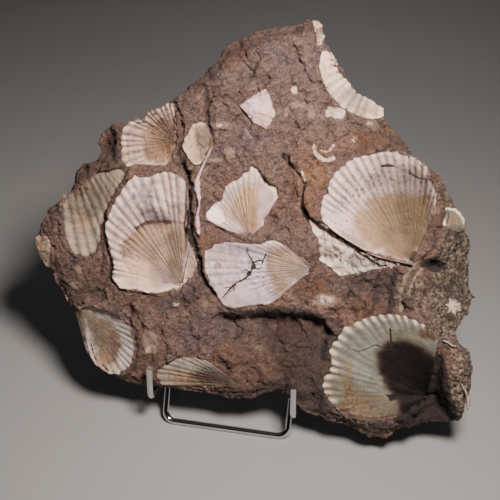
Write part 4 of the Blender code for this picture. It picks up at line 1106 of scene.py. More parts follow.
VALVES = (
    Valve(
        "scallop_large_right", (105, 99),
        ((115, 130), (114, 140), (112, 144), (109, 148), (108, 154), (102, 158), (97, 160), (93, 161),
         (86, 161), (80, 160), (74, 158), (69, 156), (64, 154), (62, 151), (58, 148), (55, 143),
         (53, 139), (54, 134), (51, 132), (50, 122), (52, 117), (56, 114), (62, 110), (70, 106),
         (77, 103), (86, 101), (90, 100.5)),
        (66, 162), 24, 1.0, 3.0, 4.5, 1.5, LARGE_RIGHT, "shell_chalk",
        ring=0.62, inner_ribs=0.15, knobs=0.55, folds=0.3, scallop=0.7, pits=1.0, sharpness=1.5,
        zone=((105, 99), (92, 101), (80, 104.5), (72, 109), (69.5, 118), (71, 128), (80, 135), (94, 138),
              (108, 137), (112.5, 127), (111, 116)),
        zone_soft=5.5,
        marks=(
            Stroke(Mark.CRACK, ((82.6, 152.3), (85.6, 152.9), (88.7, 152.9)), 1.3),
            Stroke(Mark.CRACK, ((88.7, 152.9), (93.0, 151.5), (98.4, 149.9)), 0.7, 0.45),
            Stroke(Mark.CRACK, ((98.4, 149.9), (103.1, 147.5), (109.8, 147.1), (113.4, 144.1)), 0.8, 0.9),
            Patch(Mark.DARK, ((102.6, 99.4), (103.6, 105.0), (105.6, 106.5), (107.6, 104.0), (107.0, 99.0)), 0.9, 0.8),
            Blob(Mark.SMOOTH, (66.0, 113.0), (15.0, 9.0), 1.0, 0.6),
            Stroke(Mark.SMOOTH, ((62, 112), (78, 105), (92, 101.5)), 12.0, 0.9),
            Patch(Mark.PALE, ((52, 118), (55, 128), (58, 136), (68, 133), (69, 121), (66, 112), (58, 115)), 0.8, 3.5),
            Patch(Mark.TAN, ((84, 133), (96, 136.5), (108, 137), (110, 126), (108, 120), (97, 117), (86, 122)), 0.7, 5.0),
            # Painted shade: the valve darker towards its right and top, as its lit dish would be, and along its lower
            # left edge.
            Patch(Mark.DIM, ((76, 156), (84, 160), (100, 158.6), (111, 147), (115, 130), (113, 113), (106, 99),
                             (90, 101), (84, 112), (80, 127), (76, 140)), 0.50, 8.0),
            Patch(Mark.DIM, ((87, 139), (88.5, 156), (103, 157.7), (112, 147), (115.4, 130.6), (113.3, 113), (106, 100),
                             (99, 102), (95, 112), (90, 125)), 0.76, 7.0),
            Patch(Mark.DIM, ((95, 157), (103.5, 155), (111, 147), (115.1, 133.4), (114.3, 119), (110.5, 112.7),
                             (107.4, 126.8), (103.8, 141)), 0.86, 3.5),
            Patch(Mark.DIM, ((60.9, 114.2), (65.1, 112.3), (74, 108.6), (81.4, 103.6), (74.7, 101.6), (63.9, 105.7)),
                  0.5, 2.0),
            Patch(Mark.GREY, ((70, 137), (76, 147), (92, 152), (106, 149), (113, 142), (106, 139), (92, 141), (78, 139)),
                  0.3, 4.0),
            Patch(Mark.SPECKLE, ((56, 124), (60, 134), (68, 144), (82, 150), (98, 147), (96, 140), (78, 139),
                                 (68, 130), (64, 122)), 0.75, 3.0),
            Stroke(Mark.GREY, ((78, 136.0), (92, 137.2), (106, 137.0)), 1.2, 0.5),
        ),
    ),
    Valve(
        "scallop_under_right", (103, 98),
        ((45, 118), (44, 116), (47, 110), (50, 106), (50, 103), (52, 98), (51, 94), (56, 92),
         (60, 89), (64, 86), (69, 87)),
        (161, 197), 5, -2.4, 0.2, 0.0, 1.5, KNOBBLY, "shell_chalk",
        inner=((99, 99.4), (97.5, 97.6), (97, 96.2)), ring=0.0, inner_ribs=1.0,
        knobs=4.2, folds=1.2, scallop=0.8, pits=0.0, cover=1.0,
        marks=(
            # Painted shadow of the large valve's edge on this one.
            Stroke(Mark.DEEP, ((45, 118.5), (50, 114.4), (54.5, 112.2), (61, 108.6), (69.5, 105.2), (77, 102.4),
                               (86, 100.4), (91, 99.6)), 2.8, 1.0),
            Stroke(Mark.DEEP, ((71.7, 102.5), (75.9, 100.2), (80.1, 98.3), (83.7, 96.3), (86.7, 95.0), (90.1, 95.2)),
                   1.2, 1.0),
            Patch(Mark.PALE, ((46, 117), (53, 109), (60, 104), (56, 98), (52, 98), (50, 105)), 0.5, 2.5),
            Patch(Mark.DIM, ((66, 98), (72, 102), (86, 99), (90, 96), (78, 94), (69, 93)), 0.45, 2.0),
            Blob(Mark.GREY, (60.0, 99.0), (8.0, 2.4), 0.6),
            Blob(Mark.TAN, (50.5, 104.0), (2.6, 5.0), 0.6, 0.6),
            Blob(Mark.RUST, (64.0, 90.0), (6.0, 1.6), 0.6),
            Stroke(Mark.RUST, ((52, 104), (58, 101.4), (63, 96.5), (70, 94.6)), 1.8, 0.7),
            Stroke(Mark.DARK, ((54, 101.4), (60, 99), (64, 95)), 1.3, 0.7),
            Patch(Mark.SPECKLE, ((46, 116), (60, 105), (74, 99), (72, 92), (64, 87), (51, 94)), 0.45, 2.0),
        ),
    ),
    Valve(
        "scallop_center_left", (-28, 69),
        ((-24, 74), (-21, 79), (-20, 84), (-22, 89), (-25, 94), (-27, 101), (-28.5, 120), (-29.5, 132),
         (-32, 134), (-36, 136), (-41, 137), (-45, 136), (-49, 134), (-54, 132), (-60, 133), (-64, 129),
         (-68, 123), (-71, 118), (-74, 112), (-76, 105), (-78, 100), (-77, 96), (-75, 90), (-72, 81),
         (-71, 75), (-72, 69), (-67, 63), (-54, 63), (-50, 62), (-42, 63), (-33, 66)),
        (91, 184), 19, 1.0, 3.4, 4.0, 2.0, CENTER_LEFT, "shell_cream",
        ring=0.50, inner_ribs=0.28, knobs=0.9, folds=0.9, scallop=0.8, sharpness=1.4, bed=2.4,
        zone=((-29, 70), (-45, 69), (-62, 72), (-66, 79), (-68, 86), (-66, 92), (-62, 96), (-57, 102),
              (-50, 105), (-43, 106), (-36, 107), (-28, 108), (-27, 90)),
        zone_soft=1.2, zone_step=-0.7,
        marks=(
            Blob(Mark.SMOOTH, (-50.0, 64.5), (22.0, 4.5), 1.0, 0.6),
            Patch(Mark.SMOOTH, ((-67.4, 79.2), (-58.3, 84), (-44, 80.8), (-40, 74), (-40, 66), (-65, 63.5)), 0.75, 3.0),
            Blob(Mark.SMOOTH, (-24.0, 82.0), (3.0, 12.0), 1.0, 0.6),
            Patch(Mark.PALE, ((-68, 80), (-62, 83), (-54, 82), (-46, 78), (-42, 72), (-42, 66), (-52, 64), (-66, 64)),
                  0.9, 2.6),
            # Painted shade: grey in the trough above the zone and in the furrows between the ribs, and darker on the
            # right side and the left edge.
            Blob(Mark.GREY, (-46.0, 110.0), (9.0, 3.4), 1.0),
            Stroke(Mark.GREY, ((-51, 129), (-50, 121), (-49, 114)), 3.0, 1.0),
            Stroke(Mark.GREY, ((-56.5, 124), (-53, 117), (-50, 112)), 2.8, 1.0),
            Stroke(Mark.GREY, ((-61, 121.5), (-57.5, 115), (-54, 110)), 2.8, 1.0),
            Stroke(Mark.GREY, ((-67, 116), (-62.5, 110), (-58.5, 106)), 2.8, 0.9),
            Stroke(Mark.GREY, ((-72, 107), (-67, 102.5), (-63, 100)), 2.8, 0.9),
            Patch(Mark.GREY, ((-50.0, 77.5), (-38, 79), (-32.4, 71.0), (-42.0, 65.5), (-48.3, 68.5)), 0.6, 2.5),
            Patch(Mark.DIM, ((-59, 113), (-53, 115.5), (-45.5, 114), (-39, 110.4), (-38, 106), (-50, 105.4),
                             (-57.3, 104.6)), 0.62, 3.0),
            Patch(Mark.DIM, ((-38.5, 118), (-29.6, 120), (-28.6, 107), (-36.7, 106.5)), 0.5, 3.0),
            Patch(Mark.DIM, ((-39, 104), (-30, 105), (-29, 84), (-30, 73), (-35, 74), (-39, 84)), 0.55, 3.0),
            Patch(Mark.DIM, ((-76, 96), (-73, 103), (-69, 96), (-70, 84), (-73, 78)), 0.3, 2.0),
            Patch(Mark.TAN, ((-41, 135), (-32, 133), (-29.5, 128), (-29, 110), (-37, 109), (-40, 120)), 0.5, 3.0),
            Patch(Mark.TAN, ((-24.5, 90), (-19.8, 84), (-20, 77), (-25.8, 73.5), (-27.6, 74), (-26, 82)), 0.9, 0.8),
            Blob(Mark.RUST, (-56.0, 96.0), (8.0, 5.0), 0.5, 0.7),
            Blob(Mark.RUST, (-44.0, 101.0), (8.0, 4.0), 0.35, 0.7),
            Stroke(Mark.SPECKLE, ((-67, 88), (-65, 92), (-62, 96), (-57, 102), (-50, 105.3), (-43, 106.6),
                                  (-37, 107.4)), 4.0, 0.9),
            Stroke(Mark.DARK, ((-58, 101), (-54, 104), (-50, 105.6), (-43, 106.8), (-38, 107)), 2.4, 0.85),
            Blob(Mark.SPECKLE, (-64.0, 85.0), (4.0, 7.0), 0.8, 0.8),
            Stroke(Mark.CRACK, ((-28.6, 69.5), (-27.8, 77), (-26.8, 84), (-25.4, 91)), 1.1, 0.5),
        ),
    ),
    Valve(
        "scallop_far_left", (-103, 137),
        ((-104.5, 108), (-104, 95), (-101, 86), (-96, 80.5), (-91, 79), (-86, 80), (-82, 85), (-79.5, 92),
         (-79.5, 99), (-78, 106), (-75.5, 113), (-71.5, 121), (-69, 126), (-66.5, 131), (-64.5, 136.4)),
        (-84, -46), 10, -7.0, -1.6, -2.0, 1.1, FAR_LEFT, "shell_buff", rib_center=(-116, 175),
        inner=((-104, 117), (-98, 121), (-90, 127), (-86, 131), (-80, 133), (-73, 135.6), (-67, 137.2)),
        ring=0.0, inner_ribs=1.0,
        knobs=0.55, folds=1.2, cover=0.4, scallop=3.2, sharpness=1.4, buried=4.0,
        marks=(
            Patch(Mark.DIM, ((-81.9, 130), (-76, 128), (-74, 120), (-77.8, 107), (-90, 104), (-100, 107), (-99, 117),
                             (-91, 128)), 0.45, 6.0),
            Blob(Mark.RUST, (-91.0, 101.0), (5.0, 6.0), 0.4, 0.7),
            Patch(Mark.SPECKLE, ((-104, 112), (-98, 121), (-78, 118), (-80, 100), (-94, 98)), 0.4, 4.0),
            Blob(Mark.GREY, (-80.0, 118.0), (7.0, 6.0), 0.5),
            Blob(Mark.DARK, (-98.0, 120.0), (12.0, 4.0), 0.6, 0.8),
            Blob(Mark.DARK, (-78.0, 94.0), (2.5, 10.0), 0.5, 0.8),
            Patch(Mark.PALE, ((-105, 99), (-101, 101), (-93, 95), (-86, 92), (-83, 82), (-90, 80), (-96, 80), (-102, 87)),
                  0.75, 2.6),
            Patch(Mark.TAN, ((-99, 100), (-90, 103), (-84, 98), (-88, 90), (-96, 93)), 0.35, 3.0),
        ),
    ),
    Valve(
        "scallop_upper_left", (-36, 154),
        ((-36, 162), (-37, 167), (-38, 173), (-40, 176), (-42, 177), (-46, 174), (-50, 172), (-55, 170),
         (-56, 166), (-62, 165), (-66, 163), (-69, 158), (-70, 153), (-69, 147), (-69, 141), (-65, 137),
         (-58, 139.5), (-51, 139.5), (-42, 140.5), (-39, 143.5)),
        (98, 213), 15, -1.5, 1.4, 2.0, 1.5, UPPER_LEFT, "shell_cream",
        ring=0.55, inner_ribs=0.25, knobs=0.9, folds=0.6, scallop=1.0, sharpness=1.6,
        zone=((-36, 154), (-37, 166), (-46, 168), (-53, 163), (-57, 152), (-55, 143), (-40, 142)),
        zone_soft=4.5,
        marks=(
            Patch(Mark.DIM, ((-56, 172), (-42, 176), (-38, 170), (-42, 163), (-52, 161), (-59, 164)), 0.45, 3.5),
            Patch(Mark.DIM, ((-37, 168), (-36, 154), (-40, 143), (-44, 150), (-43, 162)), 0.4, 3.0),
            Patch(Mark.SPECKLE, ((-36, 154), (-38, 166), (-46, 168), (-54, 160), (-56, 150), (-52, 142), (-40, 142)),
                  1.0, 5.0),
            Blob(Mark.DARK, (-43.0, 162.0), (8.0, 7.0), 0.6, 0.9),
            Blob(Mark.RUST, (-45.0, 147.0), (8.0, 6.0), 0.7, 0.8),
            Blob(Mark.RUST, (-50.0, 158.0), (6.0, 6.0), 0.45, 0.8),
            Blob(Mark.GREY, (-62.0, 152.0), (4.0, 9.0), 0.35, 0.6),
            Stroke(Mark.RUST, ((-68.5, 158), (-69.5, 152), (-68.5, 146), (-67.5, 141)), 2.2, 0.8),
        ),
    ),
    Valve(
        "scallop_center", (10, 103),
        ((18, 111), (18, 115), (21, 120), (24.5, 125), (25, 128), (24, 134), (20, 136), (17, 138),
         (14, 142), (12, 144), (8, 145), (7, 142), (4, 141), (2, 137), (-2, 135), (-6, 132),
         (-8, 123), (-12, 121), (-17, 114.5), (-16, 111), (-11, 108.5), (-3, 105.5)),
        (57, 156), 18, 0.6, 1.4, -1.6, 0.55, CENTER, "shell_chalk",
        ring=0.1, inner_ribs=0.8, knobs=0.3, folds=0.3, scallop=1.2,
        zone=((10, 104), (-3, 116), (-2, 126), (4, 133), (12, 135), (14, 124), (13, 112)),
        zone_soft=5.5,
        marks=(
            Blob(Mark.SMOOTH, (21.0, 124.0), (7.0, 15.0), 1.0, 0.6),
            Blob(Mark.SMOOTH, (-12.0, 112.0), (8.0, 5.0), 0.7, 0.6),
            Patch(Mark.PALE, ((-17, 112), (-16, 117), (-11, 120), (-7, 117), (-5, 111), (-8, 108), (-13, 109)), 1.3, 1.5),
            Patch(Mark.PALE, ((-8, 108), (-4, 114), (4, 109), (6, 105), (-3, 105.5)), 0.35, 2.2),
            Patch(Mark.GREY, ((14, 138), (20, 134), (24, 126), (19, 118), (16, 112), (16, 124)), 0.3, 2.5),
            Stroke(Mark.GREY, ((9, 106), (2, 114), (-3, 121)), 0.8, 0.8),
            Stroke(Mark.GREY, ((9, 106), (4, 116), (0, 124)), 0.7, 0.7),
            Stroke(Mark.RUST, ((12.5, 108), (11, 118), (9, 130)), 3.4, 0.6),
            Blob(Mark.GREY, (8.0, 104.5), (5.0, 1.6), 0.9),
        ),
    ),
    Valve(
        "scallop_lower_center", (47, 88),
        ((42, 93.4), (36, 100), (31, 101), (25, 103), (20, 102), (18, 100), (6, 99), (-2, 99),
         (-10, 97), (-12, 94), (-16, 92), (-16, 85), (-15, 79), (-12.5, 75), (-12, 72), (-8, 68),
         (-5, 63), (-2, 60), (3, 59), (10, 61), (17, 63), (24, 64), (28, 67), (31, 69.5)),
        (133, 228), 18, 0.8, 2.2, -2.4, 0.8, LOWER_CENTER, "shell_chalk",
        ring=0.35, inner_ribs=0.4, knobs=0.6, folds=0.7, scallop=0.7,
        zone=((46, 88), (40, 95), (30, 100), (23, 99), (20, 88), (23, 80), (28, 70), (33, 72)),
        zone_soft=3.0,
        marks=(
            Patch(Mark.PALE, ((-6, 78), (6, 78), (10, 70), (4, 62), (-4, 64), (-9, 70)), 0.5, 4.0),
            Patch(Mark.DIM, ((-16, 94), (-12, 97), (6, 99), (18, 100), (28, 100), (34, 99), (30, 94), (12, 93), (-4, 92),
                             (-12, 88)), 0.4, 3.0),
            Patch(Mark.TAN, ((18, 99), (32, 99), (42, 92), (36, 90), (24, 94)), 0.7, 2.0),
            Stroke(Mark.SPECKLE, ((10, 94), (11, 91), (13, 88), (14, 85), (12, 82), (10, 79), (7, 76),
                                  (2, 73), (0, 70), (-3, 65)), 3.6, 1.0),
            Stroke(Mark.CRACK, ((8.6, 96.5), (9.6, 93.6), (12, 90.0), (13.6, 87.0), (12.6, 84), (11.4, 81), (10, 79),
                                (7, 76.4), (4, 74.8), (2, 73), (0, 70), (-1.6, 67.6), (-3.6, 65)), 1.1, 0.72),
            Stroke(Mark.CRACK, ((4.4, 75.0), (2.6, 71.6), (3.2, 69.8)), 0.7, 0.7),
            Stroke(Mark.CRACK, ((1.0, 71.6), (-2.4, 71.0)), 0.7, 0.7),
            Stroke(Mark.CRACK, ((14, 85), (16.6, 84.4), (18.2, 86.0)), 0.8, 0.8),
            Stroke(Mark.CRACK, ((12.4, 82), (9.0, 83.4), (7.4, 82.6)), 0.7, 0.8),
            Stroke(Mark.CRACK, ((13, 88), (16, 89.6), (17.6, 90)), 1.0, 0.9),
            Stroke(Mark.CRACK, ((18.4, 88), (19.6, 92), (20.6, 95)), 1.0, 0.7),
            Blob(Mark.CRACK, (13.6, 86.0), (1.6, 1.9), 0.75, 0.5),
            Blob(Mark.CRACK, (11.2, 81.0), (1.5, 1.4), 0.7, 0.5),
            Blob(Mark.SPECKLE, (14.5, 83.5), (5.0, 4.5), 1.0, 0.6),
            Patch(Mark.SPECKLE, ((16, 80), (24, 84), (32, 80), (30, 73), (20, 72)), 0.75, 1.5),
            Blob(Mark.SPECKLE, (-7.5, 84.0), (2.2, 1.8), 0.9),
            Blob(Mark.GREY, (2.0, 96.0), (16.0, 2.4), 0.5),
            Blob(Mark.GREY, (6.0, 64.0), (12.0, 4.0), 0.3),
            Blob(Mark.SMOOTH, (8.0, 66.0), (18.0, 7.0), 0.8, 0.6),
        ),
    ),
    Valve(
        "scallop_top_right_edge", (78, 216),
        ((43, 213), (42.5, 205), (45, 197), (50, 189.5), (56, 183.5), (63, 180), (71, 178), (77, 178),
         (81, 180)),
        (185, 274), 11, -14.0, 1.2, -1.5, 1.7, TOP_EDGE, "shell_chalk",
        inner=((47, 214), (49, 211), (52, 207), (55, 201.5), (60, 198), (65, 192), (71, 190), (75, 188),
               (79, 185)),
        ring=0.0, inner_ribs=1.0, knobs=0.7, folds=0.4, scallop=0.35, inner_scallop=0.8, sharpness=1.4,
        marks=(
            Patch(Mark.PALE, ((42.5, 212), (48.3, 213), (52, 205), (57, 196), (52, 190), (46, 197), (43, 205)), 0.75, 2.5),
            Patch(Mark.TAN, ((44, 196), (50, 189), (58, 184), (66, 181), (72, 182), (62, 186), (53, 192), (47, 201)),
                  0.6, 2.0),
            Patch(Mark.DIM, ((55, 192), (61, 195), (68, 190.5), (74, 188), (78, 183), (72, 179), (62, 183)), 0.42, 3.0),
            Blob(Mark.RUST, (70.0, 181.0), (6.0, 3.0), 0.5),
            Blob(Mark.RUST, (45.0, 200.0), (2.4, 8.0), 0.6),
            Blob(Mark.SMOOTH, (45.0, 207.0), (3.0, 10.0), 0.8),
            Blob(Mark.GREY, (66.0, 191.0), (6.0, 3.0), 0.4),
        ),
    ),
    Valve(
        "scallop_hollow_lower_right", (121, 20),
        ((124, 57), (120, 60), (115, 63.5), (111, 65), (105, 67), (100, 67), (93, 67), (85, 64.5),
         (81, 63), (77, 60), (73, 58), (69, 55), (66, 48), (63.5, 45), (62, 40), (64, 34),
         (63, 27), (60, 23), (60, 17), (62, 12), (67, 7), (72, 3), (80, 0), (90, 0),
         (100, 3), (107, 6)),
        (86, 204), 23, -26.0, 1.8, 0.0, 2.3, HOLLOW, "shell_cream", bowl=1.5,
        ring=0.80, inner_ribs=0.10, knobs=0.4, folds=0.5, scallop=0.8, sharpness=1.2, cover=0.7,
        marks=(
            # Painted shadow in the deep hollow, soft at its edge.
            Patch(Mark.DEEP, ((91.5, 43), (94, 47.5), (98, 50.3), (103, 51.5), (109, 51), (115, 48.5), (121, 45),
                              (128, 38), (133, 27), (137, 15), (141, 8), (136, 2), (124, -2), (113, -2), (109, 4),
                              (106, 11), (102.5, 18), (97.5, 24), (93, 31), (91, 38)), 1.3, 6.5),
            Patch(Mark.DIM, ((64, 20), (72, 3), (80, 0), (90, 0), (100, 3), (106, 8), (102, 15), (88, 18), (76, 24)),
                  0.4, 3.0),
            Stroke(Mark.DARK, ((70, 6), (78, 1.6), (90, 0.8), (100, 3.6), (107, 6.6)), 3.6, 0.7),
            Patch(Mark.SMOOTH, ((86, 46), (95, 52), (110, 56), (124, 56), (136, 30), (141, 6), (124, -4), (108, 2),
                                (99, 15), (92, 26), (88, 38)), 1.0, 5.0),
            Patch(Mark.DEEP, ((97, 17.8), (104, 19.4), (105, 16.0), (100, 14.0)), 1.0, 1.2),
            Patch(Mark.TAN, ((79.5, 13.2), (89, 18.3), (101, 15), (105, 10.6), (102, 5), (92, 1.8), (84, 5)), 0.9, 2.0),
            Patch(Mark.TAN, ((93, 56), (102, 58), (111, 58), (119, 60), (124, 56), (118, 54), (110, 52), (102, 52),
                             (95, 49)), 0.55, 2.5),
            Patch(Mark.RUST, ((73.5, 19.9), (77, 21.6), (81, 15.3), (86.4, 7.9), (92.8, 2.5), (85, -2.4),
                              (77.7, -1), (71, 5), (70, 13)), 1.0, 2.0),
            Blob(Mark.RUST, (73.0, 26.0), (3.0, 9.0), 0.8, 0.6),
            Blob(Mark.RUST, (65.0, 15.0), (3.0, 6.0), 0.6, 0.6),
            Patch(Mark.SPECKLE, ((72, 20), (78, 22), (84, 12), (96, 14), (104, 8), (94, 0), (84, -2), (72, 4)), 1.0, 2.0),
            Stroke(Mark.CRACK, ((76, 43), (78.7, 41.8), (83.8, 44.3), (88.7, 47.4), (94.1, 45.6), (100.5, 45.9)),
                   0.8, 0.7),
            Stroke(Mark.CRACK, ((96, 58), (97, 52), (98, 47)), 1.3, 0.8),
            Blob(Mark.DARK, (120.0, 58.0), (8.0, 5.0), 0.7, 0.6),
        ),
    ),
    Valve(
        "scallop_lower_left", (-93, 46),
        ((-84, 17), (-80, 12), (-76, 10), (-72, 7.5), (-66, 8), (-61, 12), (-58, 16), (-57, 20),
         (-56, 25), (-57, 31), (-59, 35), (-60, 39), (-62, 42), (-65, 44), (-70, 46.5), (-80, 48.5),
         (-86, 50)),
        (-72, 0), 14, -1.0, 2.6, 5.5, 1.0, LOWER_LEFT, "shell_cream",
        ring=0.66, inner_ribs=0.15, knobs=0.4, folds=0.5, scallop=0.7,
        zone=((-92, 45), (-82, 26), (-76, 14), (-67, 14), (-64, 28), (-68, 38), (-78, 44)),
        zone_soft=4.0,
        marks=(
            Patch(Mark.DIM, ((-92, 46), (-86, 28), (-80, 14), (-74, 12), (-72, 26), (-76, 40), (-84, 47)), 0.45, 5.0),
            Patch(Mark.DIM, ((-94, 47), (-92, 36), (-88, 26), (-86.4, 27), (-87, 36), (-90, 46)), 0.9, 0.9),
            Blob(Mark.DARK, (-69.0, 27.0), (5.0, 10.0), 0.6, 0.8),
            Blob(Mark.RUST, (-76.0, 16.0), (4.0, 7.0), 0.9, 0.6),
            Blob(Mark.DARK, (-81.0, 24.0), (2.4, 9.0), 0.5, 0.8),
            Patch(Mark.SPECKLE, ((-88, 42), (-80, 18), (-70, 10), (-64, 20), (-66, 36)), 0.6, 4.0),
            Blob(Mark.DARK, (-89.0, 45.0), (5.0, 5.0), 0.6, 0.8),
        ),
    ),
    Valve(
        "scallop_bottom_edge", (10, 12),
        ((-7, 22.5), (-12, 24.8), (-16, 25.3), (-21, 25.3), (-28, 24), (-33, 21.5), (-37, 18), (-41, 14),
         (-41.5, 9.5), (-38, 5), (-14, 7.5)),
        (149, 189), 9, -1.0, 0.0, -3.0, 1.0, BOTTOM, "shell_cream",
        ring=0.2, inner_ribs=0.5, knobs=0.6, folds=0.7,
        marks=(
            Patch(Mark.DIM, ((-16, 20), (-6, 22), (10, 14), (10, 9), (-10, 7), (-22, 8)), 0.55, 4.0),
            Blob(Mark.DARK, (-8.0, 14.0), (14.0, 4.0), 0.8, 0.8),
            Blob(Mark.RUST, (-24.0, 11.0), (12.0, 4.0), 0.7, 0.8),
            Blob(Mark.GREY, (-6.0, 19.0), (8.0, 3.0), 0.6, 0.8),
            Patch(Mark.SPECKLE, ((-36, 8), (-14, 22), (6, 14), (-12, 8)), 0.7, 3.0),
        ),
    ),
)


@dataclass(frozen=True)
class Chip:
    """One small flat or cupped piece of shell: an outline, and its heights over the rock."""

    name: str
    outline: Path
    rim_height: float
    middle_height: float
    finish: ShellFinish
    slot: str
    rounded: int = 0
    marks: tuple = ()

    def rim(self) -> Path:
        """Return the outline with its corners cut as often as the chip is rounded."""
        line = np.array(self.outline, float)
        for _ in range(self.rounded):
            after = np.roll(line, -1, axis=0)
            line = np.stack((0.75 * line + 0.25 * after, 0.25 * line + 0.75 * after), axis=1).reshape(-1, 2)
        return tuple(tuple(corner) for corner in line)

    def center(self) -> Point:
        """Return the middle of the outline's corners."""
        return tuple(np.mean(np.array(self.outline, float), axis=0))

    def rise(self, share: np.ndarray) -> np.ndarray:
        """Return the height over the rock at shares of the way from the middle to the rim."""
        return self.middle_height + (self.rim_height - self.middle_height) * share ** 2.2


CHIPS = (
    Chip("small_cup_valve",
         ((-33, 152), (-32, 157), (-29, 161), (-29, 165), (-25, 167), (-20, 168), (-18, 164), (-16, 160),
          (-15, 156), (-16, 152), (-18, 148), (-20, 144), (-24, 142), (-27, 143), (-30, 147)),
         2.4, -0.8, CUP, "shell_cream", rounded=2,
         marks=(Blob(Mark.ZONE, (-20.5, 158.5), (6.6, 7.2), 0.95, 0.3),
                Blob(Mark.GREY, (-21.0, 146.0), (6.0, 3.6), 0.6, 0.6),
                Blob(Mark.PALE, (-28.5, 156.0), (3.0, 6.0), 0.7, 0.6),
                Stroke(Mark.RUST, ((-28, 153), (-25, 149.5), (-21, 149)), 1.6, 0.8),
                Stroke(Mark.DARK, ((-18.5, 149), (-16.5, 153), (-16.5, 158)), 1.6, 0.8))),
    Chip("shell_fragment_top",
         ((-1, 178.5), (4, 183), (9.5, 187), (13.5, 190), (15.7, 187.3), (17.8, 182.4), (20.5, 176),
          (18.6, 171), (16, 166.4), (13, 167.8), (8.3, 169.2), (5, 172.6), (2, 176)),
         1.0, 1.9, SMOOTH_TOP, "shell_chalk",
         marks=(Patch(Mark.TAN, ((12, 177), (18, 179), (20, 174), (18, 167), (14, 168), (10, 170)), 0.9, 3.0),
                Blob(Mark.RUST, (19.0, 176.0), (1.6, 6.0), 0.7), Blob(Mark.GREY, (11.0, 186.0), (7.0, 3.0), 0.35),
                Blob(Mark.RUST, (14.5, 168.6), (3.0, 1.6), 0.5))),
    Chip("shell_tip_fragment",
         ((37, 229), (40, 229.5), (43, 227), (43, 224), (45, 221), (43, 216), (41, 215), (39, 222)),
         0.8, 1.4, EDGE, "shell_chalk",
         marks=(Blob(Mark.SPECKLE, (41.0, 222.0), (5.0, 8.0), 1.0), Blob(Mark.RUST, (39.0, 220.0), (3.0, 6.0), 0.9),
                Blob(Mark.DARK, (42.0, 223.0), (3.0, 3.0), 0.6))),
    Chip("shell_left_edge",
         ((-121, 88), (-119, 91), (-113, 90), (-111, 86), (-109, 80), (-108.5, 74), (-110, 70.5),
          (-114, 71), (-118, 77), (-120.5, 82)),
         0.4, 1.4, LEFT_EDGE, "shell_buff",
         marks=(Blob(Mark.SPECKLE, (-115.0, 80.0), (7.0, 12.0), 1.0), Blob(Mark.RUST, (-117.0, 84.0), (4.0, 6.0), 0.6),
                Blob(Mark.DARK, (-110.0, 78.0), (2.0, 9.0), 0.8))),
    Chip("shell_right_edge",
         ((117.2, 131.5), (120.5, 132.6), (125, 133), (128.5, 130.8), (131.6, 127), (132.4, 121), (129, 119),
          (124, 120), (119.5, 122), (117.6, 126)),
         -1.0, 0.0, RIGHT_EDGE, "shell_chalk",
         marks=(Stroke(Mark.PALE, ((117.8, 131.4), (118.4, 127.6), (119.8, 123)), 2.6, 1.2),
                Stroke(Mark.PALE, ((118, 131.8), (121.5, 132.2), (125.4, 131.8), (129, 129), (131.2, 125)), 2.0, 1.0),
                Blob(Mark.TAN, (125.2, 125.2), (3.2, 3.4), 1.0, 0.4), Blob(Mark.GREY, (127.0, 121.0), (4.0, 2.4), 0.6),
                Stroke(Mark.DARK, ((121.2, 130.8), (122.2, 127.4), (121.6, 123.6)), 1.2, 0.8))),
    Chip("shell_right_chip",
         ((125.4, 76.4), (127.6, 77.2), (127.4, 80.8), (129.8, 79.4), (131, 80.4), (132.4, 78.8), (134.2, 78.6),
          (134, 76.4), (135.2, 73.6), (132.6, 73), (131.8, 70.8), (129.8, 72.2), (127.2, 71.8), (127.8, 74.6)),
         0.8, 2.4, EDGE, "shell_chalk",
         marks=(Blob(Mark.RUST, (128.0, 73.5), (2.0, 2.0), 0.6), Blob(Mark.SPECKLE, (130.5, 76.0), (5.0, 5.0), 0.8))),
)


@dataclass(frozen=True)
class Blade:
    """One shell seen edge-on: a thin upright wall along a path, with a width at each point."""

    name: str
    path: Path
    widths: tuple[float, ...]
    height: float
    depth: float
    finish: ShellFinish = SMOOTH_TOP
    slot: str = "shell_chalk"


BLADES = (
    Blade("shell_blade",
          ((-15.0, 154.5), (-17.3, 148.8), (-19.4, 143.9), (-21.5, 138.4), (-23.0, 133.6), (-22.7, 127.7),
           (-21.3, 123.1), (-21.0, 118.4), (-21.9, 113.5), (-21.6, 107.5), (-20.7, 102.8), (-19.3, 99.4)),
          (0.9, 1.2, 1.5, 1.8, 3.6, 4.0, 2.4, 1.2, 2.5, 3.4, 2.7, 1.2), 3.4, 4.0),
    Blade("shell_rim_lower_right",
          ((139, 31), (142.5, 26), (144.5, 21), (145, 15)),
          (1.0, 1.6, 2.0, 1.2), 2.6, 4.0, EDGE),
    Blade("shell_rim_right",
          ((126, 55), (129, 54.4), (132, 52.6), (134.5, 52.4)),
          (0.9, 1.4, 1.6, 1.0), 2.8, 3.5, EDGE),
)


def rounded_corner(before: Vector, corner: Vector, after: Vector, radius: float, steps: int) -> list[Vector]:
    """Return points round a corner between two straight runs.

    Args:
        before: The corner before.
        corner: The corner that is rounded.
        after: The corner after.
        radius: The radius of the bend.
        steps: How many steps the bend has.

    Returns:
        The bend's points in order.
    """
    toward = (before - corner).normalized()
    away = (after - corner).normalized()
    half_angle = toward.angle(away) / 2
    center = corner + (toward + away).normalized() * (radius / math.sin(half_angle))
    start = corner + toward * (radius / math.tan(half_angle)) - center
    end = corner + away * (radius / math.tan(half_angle)) - center
    sweep = start.angle(end)
    points = []
    for step in range(steps + 1):
        share = step / steps
        mixed = start * math.sin((1 - share) * sweep) + end * math.sin(share * sweep)
        points.append(center + mixed / math.sin(sweep))
    return points


